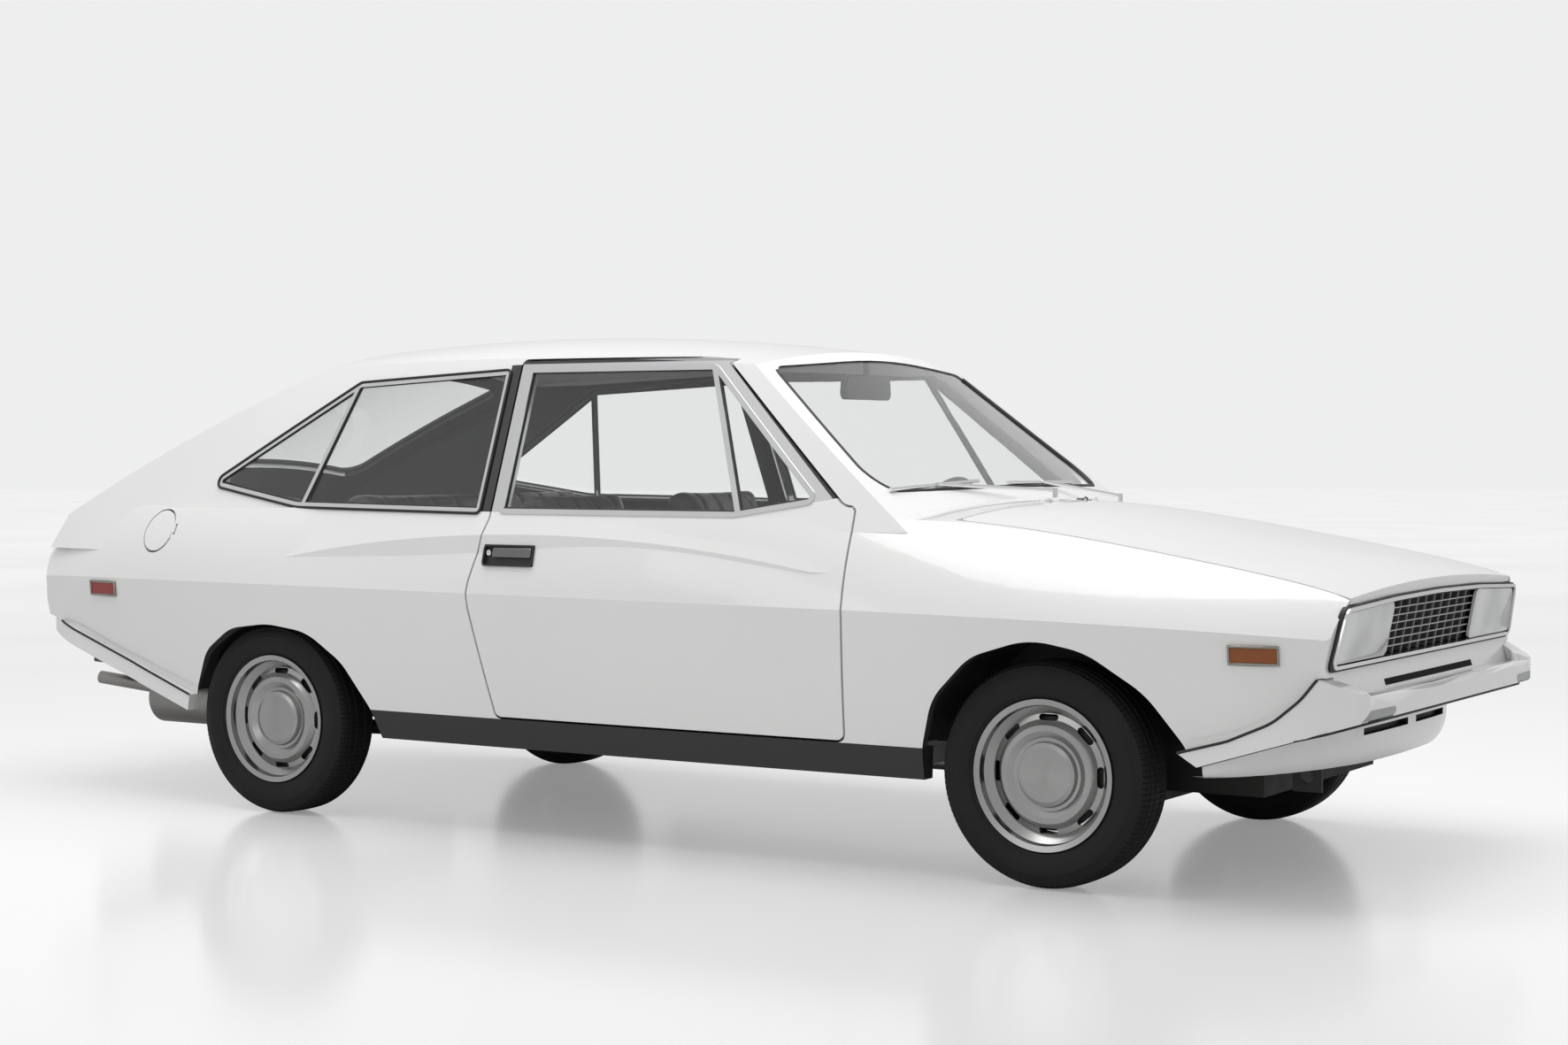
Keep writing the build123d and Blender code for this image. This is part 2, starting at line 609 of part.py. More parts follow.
# Front bumper with its indicators, nose panel with the air slots
bumper_form = upward(mirrored_plan(FRONT_BUMPER_OUTER, FRONT_BUMPER_INNER), 290, 560)
front_bumper = bumper_form & across(front_bumper_face, -900, 900)
indicator_zone = along(outline(INDICATOR), FA + 660, FA + 800)
pieces["front_markers"] = both((proud & marker_front) - engine_bay) + both(front_bumper & indicator_zone)
opening_face = outline(FRONT_OPENING)
nose = (front_outer & (nose_zone + apron_zone)) - engine_bay - front_bumper
nose = nose - block(FA + 300, FA + 580, -640, 640, 100, 430)
nose = nose - along(opening_face, FA + 560, FA + 800) - block(FA + 560, FA + 800, -590, 590, 660, 800)
for cutter in both(indicator_zone):
    front_bumper = front_bumper - cutter
for y_from, y_to, z_from, z_to in AIR_SLOTS:
    for cutter in both(block(FA + 540, FA + 800, y_from, y_to, z_from, z_to)):
        nose = nose - cutter
pieces["nose_panel"] = nose
pieces["front_bumper"] = front_bumper

# Lamp and grille frame, head lamps, grille
inner_face = grown(opening_face, -FRONT_FRAME)
pieces["grille_frame"] = along(ring(opening_face, FRONT_FRAME), FA + 560, FA + 800) & face_slab(-4, 40)
lamp_side = Pos(-LAMP_INNER_Y - 200, 630) * Rectangle(400, 400)
pieces["head_lamps"] = both(along(inner_face & lamp_side, FA + 560, FA + 800) & face_slab(6, 40))
grille_face = inner_face - lamp_side - mirror(lamp_side, about=Plane.YZ)
bars = Sketch()
for row in range(1, GRILLE_ROWS):
    step = (OPENING_HIGH - OPENING_LOW - 2 * FRONT_FRAME) / GRILLE_ROWS
    bars += Pos(0, OPENING_LOW + FRONT_FRAME + row * step) * Rectangle(2 * LAMP_INNER_Y, GRILLE_BAR)
for column in range(GRILLE_COLUMNS):
    step = 2 * LAMP_INNER_Y / GRILLE_COLUMNS
    bars += Pos((column + 0.5) * step - LAMP_INNER_Y, 630) * Rectangle(GRILLE_BAR, 200)
grille = along(grille_face, FA + 560, FA + 800) & face_slab(24, 40)
pieces["grille"] = grille + (along(bars & grille_face, FA + 560, FA + 800) & face_slab(10, 26))

# Wipers on their posts
wipers = []
for pivot_y, from_y, from_z, to_y, to_z in WIPERS:
    foot = (PIVOT_X, pivot_y, skin_height(lower, PIVOT_X, pivot_y))
    head = (PIVOT_X, pivot_y, foot[2] + 26)
    blade_from = screen_spot(from_y, from_z, WIPER_CLEAR)
    blade_to = screen_spot(to_y, to_z, WIPER_CLEAR)
    middle = [(start + end) / 2 for start, end in zip(blade_from, blade_to)]
    tip = (middle[0] + WIPER_BAR, middle[1], middle[2] + WIPER_BAR / 2)
    post = rod((PIVOT_X, pivot_y, foot[2] - 8), head, 2 * WIPER_BAR) - lower
    arm = rod((head[0], head[1], head[2] - 6), tip, WIPER_BAR)
    wipers.append(post + arm + rod(blade_from, blade_to, WIPER_BAR))
pieces["wipers"] = wipers

# Rear bumper, sills, floor, wheel wells
rear_bumper = upward(mirrored_plan(REAR_BUMPER_OUTER, REAR_BUMPER_INNER), 240, 580)
pieces["rear_bumper"] = rear_bumper & across(outline(REAR_BUMPER_TOP + REAR_BUMPER_LOW), -900, 900)
sill = (lower & sill_zone) - block(RA + 200, FA - 200, -900, -690, 200, SILL_BOTTOM)
for arch_face in (front_arch_face, rear_arch_face):
    sill = sill - across(arch_face, -900, -400)
pieces["sills"] = both(sill)
floor_side = outline([
    (FIREWALL_X, FLOOR_BOTTOM, 0), (FIREWALL_X, FLOOR_TOP, 0), (STEP_X, FLOOR_TOP, 0),
    (STEP_X, REAR_FLOOR_TOP, 0), (TAIL_X + 90, REAR_FLOOR_TOP, 0), (TAIL_X + 90, REAR_FLOOR, 0),
    (STEP_X - FLOOR_SHEET, REAR_FLOOR, 0), (STEP_X - FLOOR_SHEET, FLOOR_BOTTOM, 0),
])
floor_pan = across(floor_side, -690, 690) & upward(cabin_plan, 100, 900)
rear_liner = grown(rear_arch_face, WELL_ROOM + WELL_SHEET)
rear_liner = across(rear_liner, WELL_SHEET - WELL_INNER_REAR, -WELL_OUTER)
for cutter in both(rear_liner):
    floor_pan = floor_pan - cutter
rear_liner = (rear_liner - rear_arch) & cabin_low & block(RA - 600, RA + 600, -900, 0, 330, 900)
front_liner = across(grown(front_arch_face, 14 + WELL_SHEET), WELL_SHEET - WELL_INNER_FRONT, -900)
front_liner = front_liner - across(grown(front_arch_face, 14), -WELL_INNER_FRONT, -900)
front_liner = front_liner & engine_bay & block(FA - 600, FA + 600, -900, 0, 330, 900)
front_liner = front_liner - block(FA - 90, FA + 90, -500, -400, 300, 440)
pieces["wheel_wells"] = both(rear_liner) + both(front_liner)
tow_x, tow_y, tow_z = TOW_REAR
tow_eye = block(tow_x - 34, tow_x + 34, tow_y - 6, tow_y + 6, tow_z - 30, REAR_FLOOR + 10)
pieces["floor_pan"] = floor_pan + (tow_eye - cross_bar(tow_x, tow_y, tow_z, 9, TOW_HOLE))

# Engine, front subframe, knuckles
pieces["engine"] = block(FA - 120, FA + 420, -390, 390, 210, 690)
half_frame = block(FIREWALL_X + SKIN, FA + 578, -RAIL_Y, -RAIL_Y + 36, 300, 360)
half_frame = half_frame + block(FA - 60, FA + 60, -RAIL_Y, 0, 150, 210)
half_frame = half_frame + block(FA - 60, FA + 60, -RAIL_Y, -RAIL_Y + 36, 200, 420)
half_frame = half_frame + block(FA - 30, FA + 30, -KINGPIN_Y - 24, -RAIL_Y, 150, 166)
half_frame = half_frame + block(FA - 30, FA + 30, -KINGPIN_Y - 24, -RAIL_Y, 390, 404)
half_frame = half_frame + rod((FA, -KINGPIN_Y, 160), (FA, -KINGPIN_Y, 192), KING_PIN)
half_frame = half_frame + rod((FA, -KINGPIN_Y, 365), (FA, -KINGPIN_Y, 396), KING_PIN)
tow_eye = block(TOW_FRONT_X - 36, TOW_FRONT_X + 36, -TOW_Y - 6, -TOW_Y + 6, 236, 304)
tow_eye = tow_eye - cross_bar(TOW_FRONT_X, -TOW_Y, AXLE_Z, 9, TOW_HOLE)
pieces["front_subframe"] = half_frame + left_of(half_frame) + tow_eye
knuckle = block(FA - 34, FA + 34, -KINGPIN_Y - 26, -KINGPIN_Y + 24, 172, 384)
knuckle = knuckle + block(FA - 118, FA - 20, -KINGPIN_Y - 4, -KINGPIN_Y + 24, 226, 250)
knuckle = knuckle - rod((FA, -KINGPIN_Y, 160), (FA, -KINGPIN_Y, 196), KING_PIN + FIT)
knuckle = knuckle - rod((FA, -KINGPIN_Y, 361), (FA, -KINGPIN_Y, 396), KING_PIN + FIT)
knuckle = knuckle + rod((FA, -KINGPIN_Y, AXLE_Z), (FA, -HUB_Y - 34, AXLE_Z), SPINDLE)
pieces["knuckle_right"] = knuckle
pieces["knuckle_left"] = left_of(knuckle)

# Rear axle with its arms and springs, exhaust, fuel tank
rear_axle = cross_bar(RA, 0, AXLE_Z, 600, 32) + cross_bar(RA, 0, AXLE_Z, HUB_Y + 34, SPINDLE)
arm = block(RA - 30, RA + 760, -460, -420, 214, FLOOR_BOTTOM)
spring = rod((RA, -480, AXLE_Z), (RA, -480, REAR_FLOOR), 45)
for shape in both(arm + spring):
    rear_axle = rear_axle + shape
pieces["rear_axle"] = rear_axle
pipe_run = [(FA - 120, -150, 240), (FA - 320, -150, 208), (RA + 500, -150, 208), (RA - 330, -380, 208)]
exhaust = rod((RA - 300, -380, 270), (RA - 780, -380, 270), 80)
exhaust = exhaust + rod((RA - 760, -380, 290), (RA - 1030, -420, 320), 20)
exhaust = exhaust + block(RA - 560, RA - 500, -400, -360, 340, REAR_FLOOR)
for start, end in zip(pipe_run, pipe_run[1:]):
    exhaust = exhaust + rod(start, end, 22) + Pos(*start) * Sphere(22)
pieces["exhaust"] = exhaust - pieces["engine"]
pieces["fuel_tank"] = block(RA - 800, RA - 330, 40, 480, 240, REAR_FLOOR)

# Dashboard with the steering column, steering wheel, mirror
dash_side = outline([
    (FIREWALL_X, 560, 0), (FIREWALL_X, 872, 0), (FIREWALL_X - 240, 862, 30), (FIREWALL_X - 290, 800, 30),
    (FIREWALL_X - 240, 640, 30), (FIREWALL_X - 120, 560, 0),
])
column_dir = Vector(-math.cos(COLUMN_TILT), 0, math.sin(COLUMN_TILT))
wheel_plane = Plane(origin=WHEEL_CENTRE, x_dir=(0, 1, 0), z_dir=column_dir)
column_plane = wheel_plane.offset(-COLUMN_LENGTH)
column = Solid.make_cylinder(26, COLUMN_LENGTH - 40, column_plane)
column = column + Solid.make_cylinder(KING_PIN, COLUMN_LENGTH - 10, column_plane)
pieces["dashboard"] = across(dash_side, -DASH_HALF, DASH_HALF) + column
steering_wheel = Solid.make_cylinder(38, 40, wheel_plane.offset(-30))
steering_wheel = steering_wheel + wheel_plane.offset(-14) * Box(2 * RIM_RADIUS, 34, 12)
lower_spoke = Pos(0, -RIM_RADIUS / 2, 0) * Box(34, RIM_RADIUS, 12)
steering_wheel = steering_wheel + wheel_plane.offset(-14) * lower_spoke
steering_wheel = steering_wheel + wheel_plane * Torus(RIM_RADIUS, 13)
pieces["steering_wheel"] = steering_wheel - Solid.make_cylinder(KING_PIN + FIT, 54, wheel_plane.offset(-60))
interior_mirror = along(outline(MIRROR), MIRROR_X - 11, MIRROR_X + 11)
mirror_stem = rod((MIRROR_X, 0, 1220), (MIRROR_X, 0, 1304), 9) - pieces["roof"]
pieces["interior_mirror"] = interior_mirror + mirror_stem

# Seats
seat_side = outline([
    (FA - 1480, 300, 20), (FA - 1500, 430, 60), (FA - 1640, 900, 40), (FA - 1560, 930, 40),
    (FA - 1420, 560, 60), (FA - 960, 560, 50), (FA - 950, 440, 40), (FA - 980, 300, 20),
])
seat_base = block(FA - 1440, FA - 1020, -540, -170, FLOOR_TOP, 310)
pieces["front_seats"] = both(across(seat_side, -590, -120) + seat_base)
rear_side = outline([
    (RA + 120, REAR_FLOOR_TOP, 0), (RA + 60, 920, 40), (RA + 170, 930, 40), (RA + 260, 560, 50),
    (RA + 660, 560, 50), (RA + 680, REAR_FLOOR_TOP + 20, 20), (STEP_X, REAR_FLOOR_TOP, 0),
])
pieces["rear_seat"] = across(rear_side, -548, 548)

# Wheels and tyres
tyre = turned([(-out, radius) for out, radius in TYRE_HALF] + list(reversed(TYRE_HALF)))
disc = turned(DISC_SECTION)
slot_bar = Rot(90, 0, 0) * extrude(SlotOverall(51, 15), 100, both=True)
for step in range(WHEEL_SLOTS):
    disc = disc - Rot(0, step * 360 / WHEEL_SLOTS, 0) * (Pos(0, 0, SLOT_RADIUS) * slot_bar)
wheel = turned(RIM_SECTION) + disc + turned(HUB_SECTION)
wheel = wheel - rod((0, 40, 0), (0, -35, 0), SPINDLE + FIT)
for name, x in (("front", FA), ("rear", RA)):
    place = Pos(x, -HUB_Y, AXLE_Z)
    pieces[f"tyre_{name}_right"] = place * tyre
    pieces[f"tyre_{name}_left"] = left_of(place * tyre)
    pieces[f"wheel_{name}_right"] = place * wheel
    pieces[f"wheel_{name}_left"] = left_of(place * wheel)

os.makedirs("parts", exist_ok=True)
for name, shape in pieces.items():
    solids = shape if isinstance(shape, list) else [shape]
    export_step(Compound([solid for item in solids for solid in item.solids()]), f"parts/{name}.step")
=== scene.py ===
import json
import math

import bpy
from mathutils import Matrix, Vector, kdtree

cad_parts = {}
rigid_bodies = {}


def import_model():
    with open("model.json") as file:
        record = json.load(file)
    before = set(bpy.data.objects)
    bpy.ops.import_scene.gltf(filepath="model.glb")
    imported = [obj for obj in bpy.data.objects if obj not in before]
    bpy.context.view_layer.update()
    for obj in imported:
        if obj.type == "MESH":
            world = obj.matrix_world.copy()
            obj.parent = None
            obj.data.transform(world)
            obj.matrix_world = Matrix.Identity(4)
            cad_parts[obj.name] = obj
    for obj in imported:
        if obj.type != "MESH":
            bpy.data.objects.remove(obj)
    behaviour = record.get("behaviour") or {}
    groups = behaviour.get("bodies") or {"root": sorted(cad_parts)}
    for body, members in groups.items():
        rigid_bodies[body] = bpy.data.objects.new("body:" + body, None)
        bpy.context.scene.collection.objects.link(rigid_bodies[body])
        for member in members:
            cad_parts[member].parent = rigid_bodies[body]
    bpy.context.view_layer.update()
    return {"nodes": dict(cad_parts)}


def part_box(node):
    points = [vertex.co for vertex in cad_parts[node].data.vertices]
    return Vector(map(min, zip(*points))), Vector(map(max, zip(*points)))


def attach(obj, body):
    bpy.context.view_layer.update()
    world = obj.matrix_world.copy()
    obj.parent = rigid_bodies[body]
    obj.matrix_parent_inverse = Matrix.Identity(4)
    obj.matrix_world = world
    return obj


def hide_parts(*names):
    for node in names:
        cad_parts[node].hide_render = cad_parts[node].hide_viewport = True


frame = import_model()
nodes = frame["nodes"]

# Camera, floor and light, metres
CAMERA_PLACE = (4.0774, -6.2430, 1.0482)
CAMERA_TURN = (math.radians(88.35), 0.0, math.radians(31.96))
CAMERA_LENS = 59.4
FLOOR_RADIUS, FLOOR_TONE = 60.0, 0.62
GLOW_NEAR, GLOW_FAR = 0.25, 0.30
SKY_LIGHT, SKY_SEEN = 0.70, 0.90
LAMPS = [
    # name, place, target, width, height, power
    ("top_softbox", (0.4, -0.2, 4.6), (0.2, 0.0, 0.6), 6.5, 3.2, 180),
    ("side_softbox", (-1.5, -8.5, 3.6), (-0.3, 0.0, 0.9), 7.0, 2.0, 36),
]

# Axles: their middle and half distance along x, and their height
AXLES_MIDDLE, AXLES_HALF, AXLE_HEIGHT = 0.138, 1.224, 0.272
WHEELS = [(end, side) for end in ("front", "rear") for side in ("right", "left")]

# Tyre profile from bead to the middle of the tread, (distance from the wheel's middle, radius)
TYRE_STEPS = 120
TYRE_PROFILE = [
    (0.0500, 0.1712), (0.0570, 0.1715), (0.0590, 0.1830), (0.0640, 0.1880), (0.0655, 0.1930),
    (0.0672, 0.1935), (0.0720, 0.2080), (0.0745, 0.2220), (0.0742, 0.2340), (0.0748, 0.2350),
    (0.0742, 0.2362), (0.0715, 0.2480), (0.0660, 0.2580), (0.0560, 0.2650), (0.0450, 0.2690),
    (0.0440, 0.2650), (0.0400, 0.2650), (0.0390, 0.2692), (0.0210, 0.2697), (0.0200, 0.2650),
    (0.0150, 0.2650), (0.0140, 0.2700),
]
GROOVE_RADIUS = 0.2650
SHOULDER_FROM = 0.2590
TREAD_RISE, TREAD_GAP = 0.0022, 0.0013

# Brake drum profile, (distance outward from the wheel's middle, radius)
DRUM_STEPS = 48
DRUM_PROFILE = [
    (0.013, 0.040), (0.013, 0.130), (0.010, 0.137), (0.004, 0.138), (0.001, 0.134), (0.001, 0.118),
    (0.005, 0.114), (0.005, 0.040), (0.013, 0.040),
]

# Nose plane that carries the lamps and the grille: x at a height, and its lean
NOSE_X, NOSE_Z, NOSE_LEAN = 2.074, 0.706, 0.186
FRAME_LOW, FRAME_HIGH, FRAME_DROP = 0.550, 0.705, 0.040
FRAME_HALF_LOW, FRAME_HALF_HIGH = 0.680, 0.654
FRAME_CORNER = 0.024
LAMP_INNER = 0.318
LAMP_MARGIN, TOP_MARGIN = 0.011, 0.012
GRILLE_MARGIN, GRILLE_GAP = 0.010, 0.004
GRILLE_ROWS, GRILLE_COLUMNS = 7, 10
BAR_HALF, BAR_DEPTH = 0.0013, 0.005

# Lower edge of the front bumper in side view: a point on it and its rise
BUMPER_CUT = (1.760, 0.0, 0.319)
BUMPER_RISE = 0.3105

# Bumper blade: half length and height of its lowered top, lift of its foot over the cut, and its plan
BLADE_HALF, BLADE_TOP, BLADE_LIFT = 0.585, 0.488, 0.006
BLADE_PLAN = [
    (1.775, -0.752), (1.850, -0.748), (1.930, -0.738), (1.990, -0.725), (2.040, -0.698), (2.075, -0.655),
    (2.087, -0.600), (2.094, -0.545), (2.106, -0.400), (2.113, -0.276), (2.115, -0.227), (2.118, -0.020),
    (2.118, 0.0),
]

# Cuts of the nose panel and the marker lenses, and the seal below the blade
NOSE_FOOT, MARKER_LIFT = 0.43, 0.003
SEAL_NOSE, SEAL_AHEAD, SEAL_WIDER, SEAL_DROP = 2.0, 0.012, 1.014, 0.005

# Chin below the bumper: plan of its upper edge, centre and steps of its shrink, flange, and its air slots
CHIN_PLAN = [
    (1.775, -0.752), (1.808, -0.726), (1.850, -0.678), (1.893, -0.610), (1.930, -0.530), (1.962, -0.440),
    (1.985, -0.350), (1.997, -0.300), (2.005, -0.240), (2.010, -0.180), (2.013, -0.100), (2.015, -0.030),
    (2.015, 0.0),
]
CHIN_CENTRE = (1.70, 0, 0.293)
CHIN_FLANGE = (-0.03, 0, 0.002)
CHIN_STEPS = [(1, 1, 0.83), (1, 1, 0.81), (0.995, 0.998, 0.75), (0.985, 0.995, 0.6), (0.975, 0.99, 0.4),
              (0.965, 0.985, 0.0)]
AIR_SLOT = (0.030, 0.300)
AIR_SLOT_LOW, AIR_SLOT_HIGH, AIR_SLOT_DEPTH = 0.3715, 0.3855, 0.02

# Window surround in side view, black trim with painted shade of the door gaps: belt with its bend, rear
# pillar, and the edges of the bright part
BELT_HEIGHT, BELT_BEND, BELT_RISE = 0.876, 0.494, 0.165
PILLAR_X, PILLAR_Z, PILLAR_LEAN = -0.317, 0.872, 0.0612
BRIGHT_TOP = 1.2785
BRIGHT_FRONT, BRIGHT_FRONT_X, BRIGHT_FRONT_Z = 1.1955, 0.665, 0.747
BRIGHT_REAR, BRIGHT_REAR_LEAN = -0.2187, 0.0657

# Upper outer edge of the bumper ears: height and half width as (at x, value, slope), and the x of its end
FRONT_EAR = ((1.774, 0.342, 0.36), (1.662, 0.755, -0.115), 2.036)
REAR_EAR = ((-1.39, 0.305, -0.286), (-1.39, 0.742, 0.1475), -2.045)

# Edges that carry a frame or rail: outside and end of the side markers, face of the tail lamps, drip rail
MARKER_OUTER, MARKER_END = (1.839, 0.738, -0.23), 2.0
REAR_MARKER_OUTER, REAR_MARKER_END = 0.705, -2.0
TAIL_LAMP_FACE = -2.11
RAIL_AWAY = 0.0135

# Door handle: the door's half width at a point with its lean and spread, then corners in x and z
SKIN_HALF, SKIN_X, SKIN_Z, SKIN_LEAN, SKIN_SPREAD = 0.7952, -0.193, 0.733, 0.262, 0.012
HANDLE_CUP = ((-0.278, 0.733), (-0.108, 0.790))
HANDLE_FLAP = ((-0.247, 0.757), (-0.117, 0.782))
LOCK_PLACE, LOCK_RADIUS = (-0.260, 0.768), 0.0075

# Seats: lean of the backrests, places and half widths, then mesh step, corner, swell and seams of the pads
SEAT_TILT, BENCH_TILT = math.radians(16.6), math.radians(6)
FRONT_SEAT_Y, SEAT_HALF, BENCH_HALF = 0.355, 0.215, 0.53
PAD_STEP, PAD_CORNER, PAD_SWELL = 0.011, 0.03, 0.016
SEAM_WIDTH, SEAM_DEPTH = 0.008, 0.007
CLOTH_PRESSURE, CLOTH_FRAMES = 4.0, 20


def deselect():
    """Leave edit mode with nothing selected."""
    if bpy.context.mode != "OBJECT":
        bpy.ops.object.mode_set(mode="OBJECT")
    bpy.ops.object.select_all(action="DESELECT")


def select_only(obj):
    """Make one object the selected and active one."""
    deselect()
    obj.select_set(True)
    bpy.context.view_layer.objects.active = obj


def edit(obj, mode="FACE"):
    """Open an object in edit mode with nothing selected."""
    select_only(obj)
    bpy.ops.object.mode_set(mode="EDIT")
    bpy.ops.mesh.select_mode(type=mode)
    bpy.ops.mesh.select_all(action="DESELECT")


def pick_faces(obj, test):
    """Open an object in edit mode with the faces selected whose centre and normal pass a test."""
    edit(obj)
    bpy.ops.object.mode_set(mode="OBJECT")
    for face in obj.data.polygons:
        face.select = test(face.center, face.normal)
    bpy.ops.object.mode_set(mode="EDIT")


def face_outward(obj):
    """Turn all faces of an object outward."""
    edit(obj)
    bpy.ops.mesh.select_all(action="SELECT")
    bpy.ops.mesh.normals_make_consistent(inside=False)
    bpy.ops.object.mode_set(mode="OBJECT")


def join(parts):
    """Join objects into the first of them."""
    deselect()
    for part in parts:
        part.select_set(True)
    bpy.context.view_layer.objects.active = parts[0]
    bpy.ops.object.join()


def finish_piece(obj, name, material, body, smooth=40):
    """Name a piece, close its edit, shade it and let it ride on its body."""
    select_only(obj)
    bpy.ops.object.transform_apply(location=True, rotation=True, scale=True)
    bpy.ops.object.shade_smooth_by_angle(angle=math.radians(smooth))
    obj.name = name
    obj.data.name = name
    if not obj.data.materials:
        obj.data.materials.append(material)
    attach(obj, body)


def box_piece(low, high, bevel, segments=3):
    """A cube between two corners, with rounded edges."""
    deselect()
    bpy.ops.mesh.primitive_cube_add(size=1, location=(Vector(low) + Vector(high)) / 2)
    obj = bpy.context.active_object
    obj.scale = Vector(high) - Vector(low)
    bpy.ops.object.transform_apply(location=True, rotation=True, scale=True)
    edit(obj, "EDGE")
    bpy.ops.mesh.select_all(action="SELECT")
    bpy.ops.mesh.bevel(offset=bevel, segments=segments, affect="EDGES")
    bpy.ops.object.mode_set(mode="OBJECT")
    return obj


def rectangle(low, high):
    """Four corners in order, between two that face each other."""
    return [low, (high[0], low[1]), high, (low[0], high[1])]


def line_at(x, start, value, slope):
    """Height of a straight line at x, from a point on it and its slope."""
    return value + slope * (x - start)


def chain(points):
    """A run of edges through points, left open in edit mode."""
    deselect()
    bpy.ops.mesh.primitive_circle_add(vertices=3, radius=0.001, location=points[0])
    obj = bpy.context.active_object
    bpy.ops.object.transform_apply(location=True, rotation=True, scale=True)
    edit(obj, "VERT")
    bpy.ops.mesh.select_all(action="SELECT")
    bpy.ops.mesh.merge(type="CENTER")
    for start, end in zip(points, points[1:]):
        step = Vector(end) - Vector(start)
        bpy.ops.mesh.extrude_vertices_move(TRANSFORM_OT_translate={"value": step})
    bpy.ops.mesh.select_all(action="SELECT")
    return obj


def plate(points, radius, push, opening=0.0):
    """A flat plate through corner points, corners rounded, pushed to a thickness, open inside if asked."""
    obj = chain(points)
    bpy.ops.mesh.edge_face_add()
    bpy.ops.mesh.bevel(offset=radius, segments=5, affect="VERTICES")
    if opening:
        bpy.ops.mesh.select_mode(type="FACE")
        bpy.ops.mesh.select_all(action="SELECT")
        bpy.ops.mesh.inset(thickness=opening)
        bpy.ops.mesh.delete(type="FACE")
    bpy.ops.mesh.select_all(action="SELECT")
    bpy.ops.mesh.extrude_region_move(TRANSFORM_OT_translate={"value": push})
    face_outward(obj)
    return obj


def spun(profile, steps, centre, out=1):
    """A profile of (distance, radius) turned about a wheel's middle, left open in edit mode."""
    obj = chain([(centre.x, centre.y + out * step, centre.z + radius) for step, radius in profile])
    bpy.ops.mesh.spin(steps=steps, angle=2 * math.pi, center=centre, axis=(0, 1, 0))
    bpy.ops.mesh.select_all(action="SELECT")
    bpy.ops.mesh.remove_doubles(threshold=0.0001)
    bpy.ops.mesh.normals_make_consistent(inside=False)
    return obj


def copy_of(node, name):
    """A bare copy of a node's mesh as a new object, doubles merged, left in edit mode with all selected."""
    obj = bpy.data.objects.new(name, nodes[node].data.copy())
    obj.data.materials.clear()
    bpy.context.scene.collection.objects.link(obj)
    edit(obj, "VERT")
    bpy.ops.mesh.customdata_custom_splitnormals_clear()
    bpy.ops.mesh.select_all(action="SELECT")
    bpy.ops.mesh.remove_doubles(threshold=0.00002)
    return obj


def trimmed(node, name, point, normal, material):
    """A node's piece with all behind a plane cut off, in place of the node."""
    obj = copy_of(node, name)
    bpy.ops.mesh.bisect(plane_co=point, plane_no=normal, use_fill=True, clear_inner=True)
    bpy.ops.object.mode_set(mode="OBJECT")
    finish_piece(obj, name, material, "body", 25)
    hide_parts(node)
    return obj


def apply_modifier(obj, kind, **values):
    """Add a modifier, set it and apply it."""
    select_only(obj)
    modifier = obj.modifiers.new(kind.lower(), kind)
    for key, value in values.items():
        setattr(modifier, key, value)
    bpy.ops.object.modifier_apply(modifier=modifier.name)


def add_twin(obj):
    """Mirror a piece to the other side of the car."""
    apply_modifier(obj, "MIRROR", use_axis=(False, True, False), merge_threshold=0.0005)


# Shared shader groups
def new_group(name, inputs, outputs):
    """A shader node group with float inputs and outputs, and its nodes for use."""
    tree = bpy.data.node_groups.new(name, "ShaderNodeTree")
    for label, value in inputs:
        socket = tree.interface.new_socket(label, in_out="INPUT", socket_type="NodeSocketFloat")
        socket.default_value = value
    for label in outputs:
        tree.interface.new_socket(label, in_out="OUTPUT", socket_type="NodeSocketFloat")
    return tree, tree.nodes.new("NodeGroupInput"), tree.nodes.new("NodeGroupOutput")


def make_grain_group():
    """Noise over the piece at one scale, from 0 to 1."""
    tree, given, result = new_group("grain", [("Scale", 5.0), ("Detail", 3.0)], ["Grain"])
    place = tree.nodes.new("ShaderNodeTexCoord")
    noise = tree.nodes.new("ShaderNodeTexNoise")
    tree.links.new(place.outputs["Object"], noise.inputs["Vector"])
    tree.links.new(given.outputs["Scale"], noise.inputs["Scale"])
    tree.links.new(given.outputs["Detail"], noise.inputs["Detail"])
    tree.links.new(noise.outputs["Fac"], result.inputs["Grain"])
    return tree


def math_node(tree, operation, first, second=None, clamp=False):
    """A math node whose two inputs are sockets or numbers."""
    node = tree.nodes.new("ShaderNodeMath")
    node.operation = operation
    node.use_clamp = clamp
    for slot, value in enumerate((first, second)):
        if value is None:
            continue
        if isinstance(value, (int, float)):
            node.inputs[slot].default_value = value
        else:
            tree.links.new(value, node.inputs[slot])
    return node.outputs["Value"]


def object_place(tree):
    """The piece's own coordinates, and their x, y and z."""
    place = tree.nodes.new("ShaderNodeTexCoord")
    split = tree.nodes.new("ShaderNodeSeparateXYZ")
    tree.links.new(place.outputs["Object"], split.inputs["Vector"])
    return place, split.outputs["X"], split.outputs["Y"], split.outputs["Z"]


def seen_mask(tree):
    """1 for rays from the camera or through glass, 0 for the rest."""
    path = tree.nodes.new("ShaderNodeLightPath")
    return math_node(tree, "MAXIMUM", path.outputs["Is Camera Ray"], path.outputs["Is Transmission Ray"])


